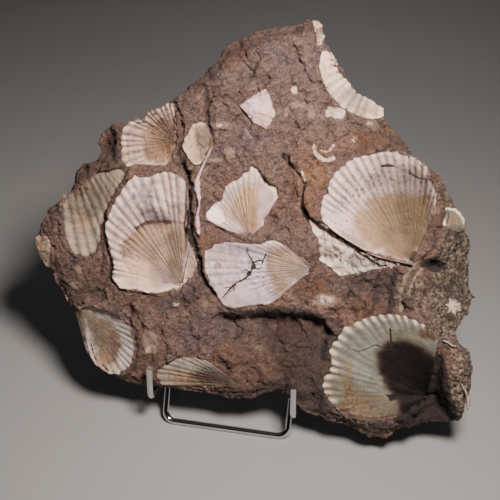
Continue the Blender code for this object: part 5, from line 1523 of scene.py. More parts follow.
@dataclass
class WireStand:
    """The chromed stand: one wire with hooks, arms and rear bar, one with base bar, legs and top bar."""

    radius: float = WIRE_RADIUS
    hook_spacing: float = 88.0
    hook_bend_height: float = 28.0
    hook_tip_height: float = 50.0
    hook_bend_radius: float = 5.0
    rear_bar_y: float = 105.0
    rear_corner_radius: float = 9.0
    base_bar_y: float = 11.0
    base_half_width: float = 39.0
    base_corner_radius: float = 6.0
    frame_top: float = 110.0
    frame_lean: float = math.radians(26.0)
    bend_steps: int = 10
    bead_radius: float = 2.1

    def hook_route(self) -> list[Vector]:
        """Return the route of the wire with the hooks, from tip to tip."""
        half = self.hook_spacing / 2
        left = [Vector((-half, 0.0, self.hook_tip_height)), Vector((-half, 0.0, self.hook_bend_height)),
                Vector((-half, self.rear_bar_y, self.radius))]
        corners = left + [Vector((-point.x, point.y, point.z)) for point in reversed(left)]
        bends = (self.hook_bend_radius, self.rear_corner_radius, self.rear_corner_radius, self.hook_bend_radius)
        route = [corners[0]]
        for index, bend in enumerate(bends, start=1):
            route += rounded_corner(corners[index - 1], corners[index], corners[index + 1], bend, self.bend_steps)
        return route + [corners[-1]]

    def base_route(self) -> list[Vector]:
        """Return the closed route of the base bar, the legs and the top bar."""
        top_y = self.base_bar_y + (self.frame_top - self.radius) * math.tan(self.frame_lean)
        half = self.base_half_width
        foot = Vector((-half, self.base_bar_y, self.radius))
        top = Vector((-half, top_y, self.frame_top))
        corners = [foot, top, Vector((half, top.y, top.z)), Vector((half, foot.y, foot.z))]
        route = []
        for index, corner in enumerate(corners):
            after = corners[(index + 1) % len(corners)]
            route += rounded_corner(corners[index - 1], corner, after, self.base_corner_radius, self.bend_steps)
        return route

    def wire(self, name: str, route: list[Vector], closed: bool) -> bpy.types.Object:
        """Return a smooth round wire.

        Args:
            name: The piece's name.
            route: The points that the wire follows.
            closed: Whether its ends meet.

        Returns:
            The wire as a mesh.
        """
        deselect_all()
        bpy.ops.curve.primitive_nurbs_path_add()
        holder = bpy.context.object
        holder.name = name
        curve = holder.data
        curve.splines.clear()
        spline = curve.splines.new("POLY")
        spline.points.add(len(route) - 1)
        for point, place in zip(spline.points, route):
            point.co = (*((np.array(place) + OFFSET) * MM), 1.0)
        spline.use_cyclic_u = closed
        curve.dimensions = "3D"
        curve.bevel_depth = self.radius * MM
        curve.bevel_resolution = 6
        curve.use_fill_caps = not closed
        bpy.ops.object.convert(target="MESH")
        wire = bpy.context.object
        merge_doubles(wire, 0.00001)
        deselect_all()
        wire.select_set(True)
        bpy.ops.object.shade_smooth_by_angle(angle=math.radians(40.0))
        return wire

    def weld_beads(self) -> bpy.types.Object:
        """Return the small weld beads where the arms cross the legs."""
        beads = []
        slope = (self.hook_bend_height - self.radius) / self.rear_bar_y
        lean = math.tan(self.frame_lean)
        height = (self.hook_bend_height - slope * (self.base_bar_y - self.radius * lean)) / (1.0 + slope * lean)
        middle_y = self.base_bar_y + (height - self.radius) * lean
        for side in (-1.0, 1.0):
            x = side * (self.hook_spacing / 2 + self.base_half_width) / 2
            place = (np.array((x, middle_y, height)) + OFFSET) * MM
            deselect_all()
            bpy.ops.mesh.primitive_uv_sphere_add(segments=24, ring_count=14, radius=self.bead_radius * MM,
                                                 location=tuple(place))
            bead = bpy.context.object
            bead.scale = (1.25, 0.9, 0.9)
            bpy.ops.object.transform_apply(location=True, rotation=True, scale=True)
            beads.append(bead)
        deselect_all()
        for bead in beads:
            bead.select_set(True)
        bpy.context.view_layer.objects.active = beads[0]
        bpy.ops.object.join()
        joined = bpy.context.object
        joined.name = "stand_weld_beads"
        bpy.ops.object.shade_smooth()
        return joined

    def build(self) -> None:
        """Build the two wires and the beads, and dress them."""
        chrome = ChromeFinish().material()
        hooks = self.wire("stand_hook_wire_bent", self.hook_route(), False)
        finish_piece(hooks, "chrome", chrome, "stand_hook_wire")
        base = self.wire("stand_base_wire_bent", self.base_route(), True)
        finish_piece(base, "chrome", chrome, "stand_base_wire")
        finish_piece(self.weld_beads(), "chrome", chrome)


SLAB_OUTLINE = (
    (40, 230), (43, 225), (47, 218), (52, 211), (58, 203), (66, 192), (73, 190), (81, 184),
    (84, 178), (93, 169), (101, 160), (108, 155), (115, 152), (120, 145), (128, 130), (136, 118),
    (138, 108), (139, 91), (143, 83), (141, 73), (135, 62), (137, 54), (144, 50), (147, 41),
    (147, 28), (144, 8), (135, 4), (125, 2), (117, -1), (109, -4), (100, -12), (89, -13),
    (83, -9), (75, -6), (66, -6), (58, -3), (51, -2), (46, 1), (40, 6), (34, 11),
    (27, 7), (18, 2), (8, 0.5), (-14, 1.5), (-39, 2), (-52, 1), (-64, 3), (-74, 8),
    (-83, 15), (-86, 24), (-87, 34), (-90, 39), (-95, 44), (-102, 49), (-106, 57), (-110, 61),
    (-111, 69), (-117, 76), (-121, 88), (-119, 98), (-114, 108), (-104, 116), (-100, 123), (-98, 131),
    (-95, 136), (-89, 138.5), (-85, 140), (-84, 145), (-86, 149), (-82, 157), (-75, 163), (-66, 163),
    (-55, 170), (-47, 174), (-41, 180), (-35, 185), (-24, 195), (-17, 203), (-11, 213.5), (1, 219.5),
    (13, 223.5), (25, 227), (34, 231),
)

HOLLOW_OUTLINE = (
    (108, 46), (116, 55), (124, 58), (128, 50), (129, 38), (131, 28), (136, 19), (144, 10),
    (142, -4), (125, -10), (112, -4), (106, 8), (104, 24),
)

LEDGE_LINE = ((-14, 54), (0, 57), (15, 59), (30, 61), (45, 62), (58, 60), (66, 50))

FACE_LUMPS = (
    (44, 135, 9, 17, 4.0), (60, 160, 18, 6, 3.5), (92, 168, 14, 5, 3.0), (36, 100, 14, 8, 2.5),
    (0, 32, 12, 8, 3.5), (26, 46, 16, 8, 2.0), (48, 30, 12, 14, 3.0), (-46, 46, 14, 10, 2.5),
    (-88, 62, 12, 10, 2.0), (-52, 30, 5, 8, 2.0), (106, 76, 6, 14, 3.0), (88, 80, 12, 8, -5.0),
    (-2, 150, 14, 10, 2.0), (-12, 190, 14, 9, 2.5), (18, 206, 14, 8, 2.0), (30, 168, 12, 9, 1.5),
    (30, 134, 5, 10, -2.5), (22, 113, 8, 6, -2.0), (-8, 112, 10, 4, -1.5), (-20, 178, 5, 14, -3.0),
    (116, 98, 6, 4, -8.0), (-90, 128, 12, 8, -4.0), (-79, 150, 7, 9, -7.0), (-12, 55, 8, 6, 1.5),
    (136, 40, 8, 16, 3.0), (141, 20, 6, 10, 2.0), (130, 76, 8, 8, 2.5), (70, 10, 8, 10, 1.0),
    (-112, 78, 8, 10, 1.5), (-30, 178, 8, 5, 2.0), (70, 72, 12, 5, 1.5), (10, 165, 10, 5, -1.5),
)

TRENCHES = (
    Trench(((-32, 142), (-29, 137), (-27, 130), (-27, 122), (-25.5, 112), (-24.5, 103), (-22, 95),
            (-18.5, 87), (-18, 80), (-15, 73), (-9, 66)), 3.2, 6.0),
    Trench(((26, 152), (31, 147), (36, 143), (39, 138), (39, 125), (43, 118), (48, 113)), 2.6, 4.5),
    Trench(((-66, 48.5), (-60, 43), (-56.5, 36), (-54.6, 28), (-54.6, 19), (-57, 11)), 2.0, 2.8),
    Trench(((46, 115), (50, 111.5), (56, 109), (62, 106.3), (70, 103.2), (77, 100.8), (86, 98.8),
            (95, 97.4), (104, 96.5)), 2.6, 4.5),
    Trench(((-77.5, 107), (-78.5, 100), (-78, 95), (-76, 88), (-73.2, 80), (-72.2, 75), (-73, 68.5),
            (-67.5, 62), (-60, 61.4), (-50, 61)), 1.8, 3.0),
    Trench(((-74, 113), (-71.5, 119), (-68.5, 124), (-65, 129.5)), 1.6, 2.0),
    Trench(((-40, 178), (-35, 171), (-33.1, 163), (-34, 154), (-36, 147)), 2.6, 5.0),
    Trench(((-4.5, 181), (0, 177.5), (3.6, 173), (7.5, 169.3)), 1.3, 2.4),
    Trench(((-20.5, 186), (-19.5, 178), (-18.5, 169), (-15.5, 161), (-14, 155)), 1.4, 2.2),
    Trench(((-17, 109.5), (-10, 106.5), (-2, 103.5), (6, 100.8)), 1.8, 2.0),
    Trench(((-13, 73), (-9, 67), (-5.5, 61.5), (-1, 58.5), (5, 57.6)), 1.5, 2.4),
    Trench(((-41, 6.5), (-34, 4.6), (-24, 5.4), (-12, 6.0), (0, 8.2), (10, 9.4)), 1.5, 3.0),
    Trench(((-30, 2.5), (-14, 3.0), (4, 5.0), (16, 6.8)), 1.2, 2.2),
    Trench(((-107.5, 92), (-103.5, 85), (-97, 78.5), (-90, 77.5)), 1.4, 2.0),
    Trench(((117, 112), (114, 105), (109, 100)), 3.0, 3.5),
    Trench(((112, 144), (109.5, 148.5), (108.5, 154)), 1.2, 2.0),
)

ROCK_MARKS = (
    Blob(Mark.PALE, (29.8, 190.2), (2.0, 2.4), 0.75, 0.9),
    Stroke(Mark.TAN, ((26.2, 176.4), (28.2, 180.6), (32.0, 182.6), (36.6, 183.0), (40.1, 181.0), (41.0, 176.6)),
           4.4, 0.6),
    Stroke(Mark.PALE, ((43.5, 159.9), (44.9, 156.0), (47.4, 153.4), (50.9, 152.6), (55.3, 154.2)), 2.8, 0.66),
    Stroke(Mark.PALE, ((47.6, 158.0), (50.5, 157.1), (53.3, 158.5), (54.6, 161.5)), 1.6, 0.6),
    Blob(Mark.PALE, (54.5, 179.5), (5.4, 3.2), 0.95, 0.6),
    Blob(Mark.TAN, (-9.6, 166.3), (5.4, 2.6), 1.0, 0.6),
    Blob(Mark.PALE, (-11.0, 166.8), (2.6, 1.4), 0.7, 0.6),
    Blob(Mark.TAN, (-5.1, 151.2), (3.2, 3.4), 1.0, 0.6),
    Blob(Mark.TAN, (-12.5, 146.5), (4.0, 1.6), 0.8, 0.6),
    Stroke(Mark.TAN, ((3.5, 165.5), (7.5, 161.0)), 1.6, 0.8),
    Blob(Mark.TAN, (-46.5, 30.5), (5.0, 7.6), 1.0, 0.6),
    Blob(Mark.PALE, (-47.5, 26.5), (2.2, 3.0), 0.6, 0.6),
    Blob(Mark.TAN, (-94.5, 61.6), (4.6, 2.6), 0.9, 0.6),
    Blob(Mark.TAN, (-93.5, 71.2), (2.4, 2.4), 0.9, 0.6),
    Blob(Mark.PALE, (57.5, 70.9), (5.0, 3.2), 0.65, 0.8),
    Blob(Mark.TAN, (57.5, 70.5), (7.5, 4.4), 0.9, 0.6),
    Blob(Mark.TAN, (21.0, 37.0), (4.0, 3.0), 0.6, 0.8),
    Blob(Mark.TAN, (28.0, 51.0), (3.0, 2.6), 0.6, 0.8),
    Stroke(Mark.PALE, ((50.5, 213.0), (54.2, 207.8)), 1.3, 0.9),
    Blob(Mark.TAN, (74.5, 174.4), (5.0, 3.6), 1.0, 0.5),
    Blob(Mark.PALE, (73.5, 175.6), (2.6, 1.6), 0.6, 0.6),
    Stroke(Mark.PALE, ((37.8, 144.4), (40.0, 138.8)), 1.4, 0.9),
    Stroke(Mark.PALE, ((-103.0, 52.5), (-101.0, 49.5)), 1.6, 0.9),
    Blob(Mark.PALE, (66.0, 165.5), (2.0, 2.0), 0.6, 0.9),
    Blob(Mark.PALE, (-31.0, 57.0), (4.6, 1.6), 0.55, 0.7),
    Blob(Mark.RUST, (46.0, 141.0), (11.0, 22.0), 0.95, 0.6),
    Blob(Mark.RUST, (70.0, 166.0), (22.0, 7.0), 0.8, 0.6),
    Blob(Mark.RUST, (86.0, 180.0), (8.0, 10.0), 0.85, 0.6),
    Blob(Mark.RUST, (47.5, 79.0), (12.0, 10.0), 0.75, 0.7),
    Blob(Mark.RUST, (30.0, 71.0), (12.0, 8.0), 0.6, 0.7),
    Blob(Mark.RUST, (83.7, 68.0), (10.0, 10.0), 0.7, 0.7),
    Blob(Mark.RUST, (3.0, 28.0), (9.0, 7.0), 0.75, 0.5),
    Blob(Mark.RUST, (-16.0, 62.0), (8.0, 4.0), 0.5, 0.6),
    Blob(Mark.RUST, (116.0, 142.0), (6.0, 12.0), 0.6, 0.6),
    Blob(Mark.RUST, (-14.0, 96.0), (4.0, 4.0), 0.6, 0.6),
    Blob(Mark.RUST, (36.0, 156.0), (6.0, 6.0), 0.4, 0.7),
    Blob(Mark.RUST, (26.0, 26.0), (14.0, 7.0), 0.35, 0.7),
    Blob(Mark.GREY, (30.0, 195.0), (24.0, 28.0), 0.8, 0.6),
    Blob(Mark.GREY, (54.0, 172.0), (18.0, 14.0), 0.75, 0.5),
    Blob(Mark.GREY, (-6.0, 172.0), (10.0, 18.0), 0.6, 0.6),
    Blob(Mark.GREY, (26.0, 147.0), (8.0, 8.0), 0.4, 0.6),
    Blob(Mark.GREY, (-9.0, 56.0), (10.0, 6.0), 0.5, 0.6),
    Blob(Mark.GREY, (0.0, 45.0), (9.0, 8.0), 0.6, 0.6),
    Blob(Mark.POROUS, (130.0, 90.0), (14.0, 34.0), 1.0, 0.3),
    Blob(Mark.POROUS, (141.0, 34.0), (9.0, 28.0), 1.0, 0.4),
    Blob(Mark.POROUS, (104.0, 82.0), (12.0, 12.0), 0.6, 0.5),
    Blob(Mark.POROUS, (122.0, 144.0), (10.0, 12.0), 0.6, 0.5),
    Blob(Mark.POROUS, (76.0, -2.0), (16.0, 8.0), 0.7, 0.6),
    Blob(Mark.DARK, (114.0, 117.0), (3.5, 9.0), 0.55, 0.6),
    Blob(Mark.DARK, (22.0, 208.0), (3.0, 3.0), 0.3, 0.8),
    Blob(Mark.DARK, (129.0, 117.5), (3.6, 2.0), 0.8, 0.5),
    Blob(Mark.DARK, (127.5, 86.0), (4.0, 7.0), 0.6, 0.7),
    Blob(Mark.DARK, (128.5, 69.0), (3.4, 4.4), 0.7, 0.7),
    # Painted shade: the rock darker under the ledge, beside the hollow, along the lower edge, on the sunken lumps and
    # where it falls away from the light.
    Patch(Mark.DIM, ((20, 60), (43, 59), (66, 56), (74, 45.6), (66.5, 25.8), (64.9, 9.9), (72, -7.7), (66.7, -12.2),
                     (54, 2.0), (36, 14), (26, 30), (18, 44)), 0.95, 6.0),
    Patch(Mark.DIM, ((-4, 54), (18, 56), (30, 44), (34, 20), (26, 10), (10, 12), (-4, 24), (-10, 40)), 0.45, 8.0),
    Patch(Mark.DIM, ((-84, 12), (-90, 40), (-70, 50), (-62, 44), (-58, 30), (-56, 12), (-66, 8)), 0.5, 4.0),
    Patch(Mark.DIM, ((-4, 2), (20, 0), (40, 4), (38, 14), (20, 12), (2, 12)), 0.9, 4.0),
    Patch(Mark.DIM, ((-102, 122), (-96, 138), (-84, 150), (-76, 164), (-70, 158), (-70, 140), (-74, 128), (-88, 126)),
          0.7, 5.0),
    Patch(Mark.DIM, ((-90, 66), (-84, 50), (-76, 60), (-78, 80), (-86, 76)), 0.5, 4.0),
    Patch(Mark.DIM, ((-11, 213), (1, 219), (13, 223), (25, 227), (34, 231), (40, 230), (40, 223), (26, 220),
                     (10, 214), (-4, 205), (-17, 194), (-30, 182), (-32, 188)), 0.65, 3.0),
    Patch(Mark.DIM, ((66, 170), (72, 182), (86, 177), (102, 166), (112, 153), (118, 140), (114, 138),
                     (108, 155), (92, 162), (76, 160), (66, 158)), 0.75, 3.0),
    Patch(Mark.DIM, ((116, 112), (124, 122), (132, 112), (134, 96), (126, 84), (116, 88)), 0.3, 6.0),
    Patch(Mark.DIM, ((-106, 60), (-98, 72), (-86, 70), (-84, 56), (-92, 46), (-100, 50)), 0.35, 5.0),
    Patch(Mark.DIM, ((-40, 18), (-44, 30), (-58, 36), (-62, 20), (-54, 8), (-42, 8)), 0.35, 5.0),
    Patch(Mark.DIM, ((70, 92), (84, 96), (98, 94), (100, 84), (98, 66), (84, 64), (74, 66), (68, 78)), 0.7, 3.0),
    Patch(Mark.DIM, ((42, 88), (54, 86), (66, 84), (68, 72), (56, 74), (46, 66), (38, 72)), 0.5, 3.0),
    Stroke(Mark.DARK, ((96, 93), (94, 83), (96, 73), (92, 65)), 4.0, 0.8),
    Stroke(Mark.DARK, ((88, 92), (85, 84), (87, 74), (84, 66)), 3.0, 0.7),
    Stroke(Mark.DARK, ((78, 90), (76, 82), (77, 74)), 3.0, 0.6),
    Stroke(Mark.TAN, ((106, 98), (101, 90), (99.6, 80), (101, 70)), 2.0, 0.9),
    Stroke(Mark.TAN, ((110, 96), (106, 88), (104, 78)), 1.6, 0.8),
    Stroke(Mark.DARK, ((-20.5, 186), (-19.5, 178), (-18.5, 169), (-15.5, 161)), 4.0, 0.7),
    Patch(Mark.TAN, ((129, 58), (136, 56), (146, 44), (147, 30), (143, 14), (138, 22), (133, 34), (130, 46)), 0.45, 3.0),
    Patch(Mark.DIM, ((-72, 62), (-60, 60), (-44, 60), (-28, 66), (-18, 74), (-12, 66), (-24, 56), (-56, 52)), 0.35, 4.0),
    Patch(Mark.DIM, ((76, 84), (96, 92), (104, 84), (98, 70), (84, 66)), 0.2, 4.0),
    Patch(Mark.DIM, ((60, 6), (64, -4), (84, -12), (100, -12), (110, -2), (96, 0), (76, 0)), 0.6, 4.0),
    # Painted shadow in a dark band under the ledge.
    Stroke(Mark.DARK, ((0, 58.0), (10, 57.6), (20, 58.2)), 2.6, 0.9),
    Stroke(Mark.DARK, ((20, 58.6), (30, 60.8), (43, 60.6), (54, 60.2)), 7.0, 1.0),
    Stroke(Mark.DARK, ((54, 60.2), (62, 59.0), (68, 56.0)), 3.4, 0.8),
    Stroke(Mark.DEEP, ((26, 60.0), (36, 61.0), (46, 60.2)), 3.0, 0.9),
    Blob(Mark.DARK, (104.0, 74.0), (3.0, 7.0), 0.7, 0.7),
    # Painted shadow in the hollow of the lower right valve.
    Patch(Mark.DEEP, ((96, 50), (112, 51), (120, 50), (128, 45), (131, 36), (133, 26), (138, 16), (143, 8), (138, 2),
                      (124, 0), (112, -3), (104, 2), (100, 12), (92, 30)), 1.0, 2.5),
    # Painted shade on the sunken lumps at the upper left.
    Blob(Mark.DARK, (-77.0, 150.0), (8.0, 10.0), 0.3, 0.8),
    Blob(Mark.DARK, (-88.0, 128.0), (10.0, 8.0), 0.3, 0.8),
    Blob(Mark.DARK, (-27.0, 122.0), (3.0, 18.0), 0.6, 0.8),
    Blob(Mark.DARK, (-31.0, 144.0), (2.6, 4.0), 0.9, 0.6),
    # Painted shadow in cracks and in the gaps beside shell edges.
    Blob(Mark.DEEP, (116.6, 99.0), (7.0, 3.6), 1.0, 0.5),
    Stroke(Mark.DEEP, ((40, 124), (42.6, 119.3), (48.2, 115.2), (55.3, 113), (60.2, 109.4), (68.4, 107.4),
                       (76.3, 103), (83.3, 101.4), (91.9, 100.7), (102.4, 97.7)), 3.0, 1.0),
    Stroke(Mark.DEEP, ((40.5, 139), (39.4, 132), (40, 124)), 1.4, 0.9),
    Stroke(Mark.DEEP, ((-27.4, 126), (-26.9, 118.3), (-25.8, 108.3), (-24.4, 99), (-21.2, 92),
                       (-19, 85), (-17.6, 78)), 3.6, 1.0),
    Stroke(Mark.DEEP, ((-77.5, 107), (-78.8, 99), (-77, 91), (-73.5, 81), (-72.6, 74), (-73.4, 68.6)), 2.0, 0.9),
    Stroke(Mark.DEEP, ((-73.4, 68.6), (-67.5, 62.2), (-60, 61.4), (-50, 61.6), (-44, 61.2)), 1.6, 0.85),
    Stroke(Mark.DARK, ((-70, 133), (-74, 123), (-77, 113), (-78.5, 103)), 3.0, 0.6),
    Stroke(Mark.DARK, ((70, 40), (67, 36), (62, 26)), 3.0, 0.6),
    Blob(Mark.DARK, (-44.0, 2.0), (60.0, 6.0), 0.5, 0.9),
)


@dataclass
class RockSlab:
    """The slab of rock: its broad form, its broken front, beds for the shells, flanks and back."""

    shells: list[FanShell]
    voxel: float = 0.85
    blank_thickness: float = 14.0
    thickness: float = 34.0
    widest_depth: float = 8.0
    lower_thinning: float = 8.0
    stand_depth: float = 17.2
    stand_depth_slope: float = 0.14
    front_rim_reach: float = 9.0
    front_rounding: float = 4.0
    front_rim_lean: float = 2.2
    back_rim_reach: float = 26.0
    back_rounding: float = 15.0
    thinnest_rim: float = 10.0
    flank_taper: float = 0.34
    flank_taper_reach: float = 45.0
    flank_down_left: Point = (-0.64, -0.77)
    flank_ledge: float = 2.4
    seat_drop: float = 2.4
    seat_size: Point = (8.0, 12.0)
    ledge_depth: float = 10.0
    ledge_reach: float = 34.0
    hollow_depth: float = 27.0
    hollow_lip_depth: float = 12.0
    lobe: tuple[float, float, float] = (112.0, 24.0, 42.0)
    lobe_extra: float = 15.0
    wire_gap: float = 0.35
    chip_cover: float = 0.9
    most_triangles: int = 190000
    covered: np.ndarray = field(init=False)

    def relief(self, points: np.ndarray) -> np.ndarray:
        """Return the height of the rock face before beds and cracks."""
        u, v = points[:, 0], points[:, 1]
        height = 2.0 - 3.0 * (((u - 10.0) / 130.0) ** 2 + ((v - 105.0) / 125.0) ** 2)
        for lump_u, lump_v, half_across, half_up, lump_height in FACE_LUMPS:
            spread = ((u - lump_u) / half_across) ** 2 + ((v - lump_v) / half_up) ** 2
            height += lump_height * np.exp(-spread)
        height -= 0.85 * np.maximum(u - 113.0, 0.0) * smooth_step(v, 62.0, 88.0)
        ledge_v = np.interp(u, [p[0] for p in LEDGE_LINE], [p[1] for p in LEDGE_LINE])
        ends = smooth_step(u, -16.0, 0.0) * (1.0 - smooth_step(u, 62.0, 72.0))
        below = smooth_step(ledge_v - v, 0.0, 4.0) * (1.0 - smooth_step(ledge_v - v, 6.0, self.ledge_reach))
        height -= self.ledge_depth * below * ends
        height += 2.0 * waves(points, 21.0, 3.0) + 1.4 * waves(points, 8.0, 9.0)
        height += broken_faces(points, 20.0, 0.9, 0.12, 5.0) + broken_faces(points, 9.0, 0.3, 0.10, 15.0)
        hollow = smooth_step(depth_inside(points, HOLLOW_OUTLINE), 0.0, 9.0)
        from_lip = smooth_step(depth_inside(points, SLAB_OUTLINE), 0.0, 18.0)
        floor = self.hollow_lip_depth + (self.hollow_depth - self.hollow_lip_depth) * from_lip
        return height * (1.0 - hollow) - floor * hollow

    def rock_height(self, points: np.ndarray) -> np.ndarray:
        """Return the height of the rock without beds, as the small shells rest on it."""
        depth_in = np.maximum(depth_inside(points, SLAB_OUTLINE), 0.0)
        rim = 1.0 - smooth_step(depth_in, 0.0, self.front_rim_reach)
        return self.relief(points) - self.front_rounding * rim

    def front_height(self, points: np.ndarray) -> np.ndarray:
        """Return the height of the rock's front, with beds for the shells and cracks."""
        height = self.rock_height(points)
        uneven = 0.8 * waves(points, 3.4, 33.0) + 0.4 * waves(points, 1.6, 35.0)
        self.covered = np.zeros(len(points))
        for chip in CHIPS:
            center = np.array(chip.center())
            away = points - center
            reach = ray_reach(chip.center(), chip.rim(), np.arctan2(away[:, 1], away[:, 0]))
            share = np.linalg.norm(away, axis=1) / np.maximum(reach, 1e-6)
            bed = height + chip.rise(np.clip(share, 0.0, 1.0)) - self.chip_cover
            height = np.where(share < 1.0, np.minimum(height, bed), height)
            self.covered = np.maximum(self.covered, smooth_step(1.1 - share, 0.0, 0.2))
        for shell in self.shells:
            depth_in = depth_inside(points, shell.outline())
            self.covered = np.maximum(self.covered, smooth_step(depth_in, -0.5, 1.0))
            near = np.flatnonzero(depth_in > -8.0)
            bed = shell.surface_under(points[near]) - shell.valve.cover + uneven[near]
            bed -= shell.valve.bed * smooth_step(depth_in[near], 0.3, 1.6)
            raised = 1.0 - smooth_step(-depth_in[near], 1.5, 7.0)
            lowered = smooth_step(depth_in[near] + 0.5 * uneven[near], -0.6, 0.6)
            gap = bed - height[near]
            height[near] += np.maximum(gap, 0.0) * raised + np.minimum(gap, 0.0) * lowered
        for trench in TRENCHES:
            wobble = 1.0 + 0.5 * waves(points, 5.0, trench.depth * 7.0)
            across = distance_to_line(points, trench.path) / (trench.width / 2.0 * wobble)
            height -= trench.depth * (1.0 - smooth_step(across, 0.1, 1.15))
        return height

    def lobe_share(self, points: np.ndarray) -> np.ndarray:
        """Return how much each place belongs to the thick lower right lobe."""
        away = np.hypot(points[:, 0] - self.lobe[0], points[:, 1] - self.lobe[1])
        return np.exp(-((away / self.lobe[2]) ** 2))

    def depth(self, points: np.ndarray) -> np.ndarray:
        """Return the thickness of the slab behind the face plane."""
        u, v = points[:, 0], points[:, 1]
        free = self.thickness + self.lobe_extra * self.lobe_share(points)
        free -= self.lower_thinning * smooth_step(40.0 - v, 0.0, 45.0)
        free += 2.6 * waves(points, 34.0, 17.0) + 1.2 * waves(points, 12.0, 23.0)
        free += broken_faces(points, 26.0, 2.0, 0.11, 41.0)
        on_stand = self.stand_depth + self.stand_depth_slope * np.minimum(v, 100.0)
        on_stand += 0.7 * waves(points, 16.0, 29.0)
        near_stand = (1.0 - smooth_step(np.abs(u), 47.0, 60.0)) * (1.0 - smooth_step(v, 100.0, 118.0))
        return free * (1.0 - near_stand) + np.minimum(on_stand, free) * near_stand

    def seat_share(self, points: np.ndarray) -> np.ndarray:
        """Return how much each place belongs to the two spots that rest in the hooks."""
        across = (np.abs(points[:, 0]) - 44.0) / self.seat_size[0]
        return np.exp(-across ** 2 - (points[:, 1] / self.seat_size[1]) ** 2)

    def places(self, points: np.ndarray, layer: np.ndarray) -> np.ndarray:
        """Return the slab's vertices.

        Args:
            points: The place of each vertex on the face.
            layer: Its share of the way from the front, 0, to the back, 1.

        Returns:
            One row of x, y and z in millimetres for each vertex.
        """
        depth_in = np.maximum(depth_inside(points, SLAB_OUTLINE), 0.0)
        inward = inward_direction(points, SLAB_OUTLINE)
        rim = 1.0 - smooth_step(depth_in, 0.0, self.front_rim_reach)
        front_height = self.front_height(points)
        back_rim = 1.0 - smooth_step(depth_in, 0.0, self.back_rim_reach)
        seat = self.seat_share(points)
        rounding = self.back_rounding * (1.0 - 0.5 * self.lobe_share(points)) * (1.0 - seat)
        thinnest = self.thinnest_rim - np.minimum(front_height, 0.0)
        back_depth = np.maximum(self.depth(points) - rounding * back_rim ** 1.5, thinnest)
        widest_depth = np.maximum(self.widest_depth, 4.0 - front_height)
        facing = np.clip(inward @ np.array(self.flank_down_left), -1.0, 1.0)
        near_rim = 1.0 - smooth_step(depth_in, 0.0, self.flank_taper_reach)
        taper = self.flank_taper * (0.55 + 0.45 * facing) * back_depth * near_rim * (1.0 - seat)
        belly = 1.0 - np.abs(2.0 * layer - 1.0)
        edge = np.exp(-depth_in / 3.0)
        level = np.column_stack((points / 24.0, layer * back_depth / 6.0))
        ledge_in = inward * (self.flank_ledge * (waves(level, 1.0, 0.0) + 0.5) * belly * edge)[:, None]
        front = FACE.places(points + inward * (self.front_rim_lean * rim)[:, None], front_height)
        widest = FACE.places(points + ledge_in, -widest_depth)
        back_points = points + inward * taper[:, None] + ledge_in
        back_points[:, 1] -= self.seat_drop * seat
        back = FACE.places(back_points, np.zeros(len(points))) - FACE.out() * back_depth[:, None]
        straight = front + (back - front) * layer[:, None]
        return straight + (widest - straight) * (0.6 * belly * edge)[:, None]

    def blank(self) -> tuple[bpy.types.Object, np.ndarray, np.ndarray]:
        """Return an even, closed sheet of the slab's outline, and its vertices' places and layers."""
        deselect_all()
        bpy.ops.mesh.primitive_circle_add(vertices=len(SLAB_OUTLINE), radius=1.0, fill_type="NGON")
        blank = bpy.context.object
        blank.name = "rock_slab"
        blank.data.name = "rock_slab"
        for vertex, (u, v) in zip(blank.data.vertices, reversed(SLAB_OUTLINE)):
            vertex.co = (u, v, -self.blank_thickness / 2)
        bpy.ops.object.mode_set(mode="EDIT")
        bpy.ops.mesh.select_all(action="SELECT")
        bpy.ops.mesh.extrude_region_move(TRANSFORM_OT_translate={"value": (0.0, 0.0, self.blank_thickness)})
        bpy.ops.mesh.select_all(action="SELECT")
        bpy.ops.mesh.normals_make_consistent(inside=False)
        bpy.ops.object.mode_set(mode="OBJECT")
        remesh = blank.modifiers.new("even", "REMESH")
        remesh.mode = "VOXEL"
        remesh.voxel_size = self.voxel
        apply_modifier(blank, remesh.name)
        flat = places_of(blank)
        layer = np.clip(0.5 - flat[:, 2] / self.blank_thickness, 0.0, 1.0)
        return blank, flat[:, :2], layer

    def clear_wires(self, places: np.ndarray, stand: WireStand) -> np.ndarray:
        """Return the places with those inside the stand's wires moved out of them."""
        room = stand.radius + self.wire_gap
        moved = places.copy()
        for route in (stand.hook_route(), stand.base_route() + stand.base_route()[:1]):
            for start, end in zip(route[:-1], route[1:]):
                run = np.array(end - start)
                share = np.clip(((moved - np.array(start)) @ run) / (run @ run), 0.0, 1.0)
                away = moved - np.array(start) - share[:, None] * run
                distance = np.linalg.norm(away, axis=1)
                inside = distance < room
                moved[inside] += away[inside] * (room / np.maximum(distance[inside], 1e-3) - 1.0)[:, None]
        return moved

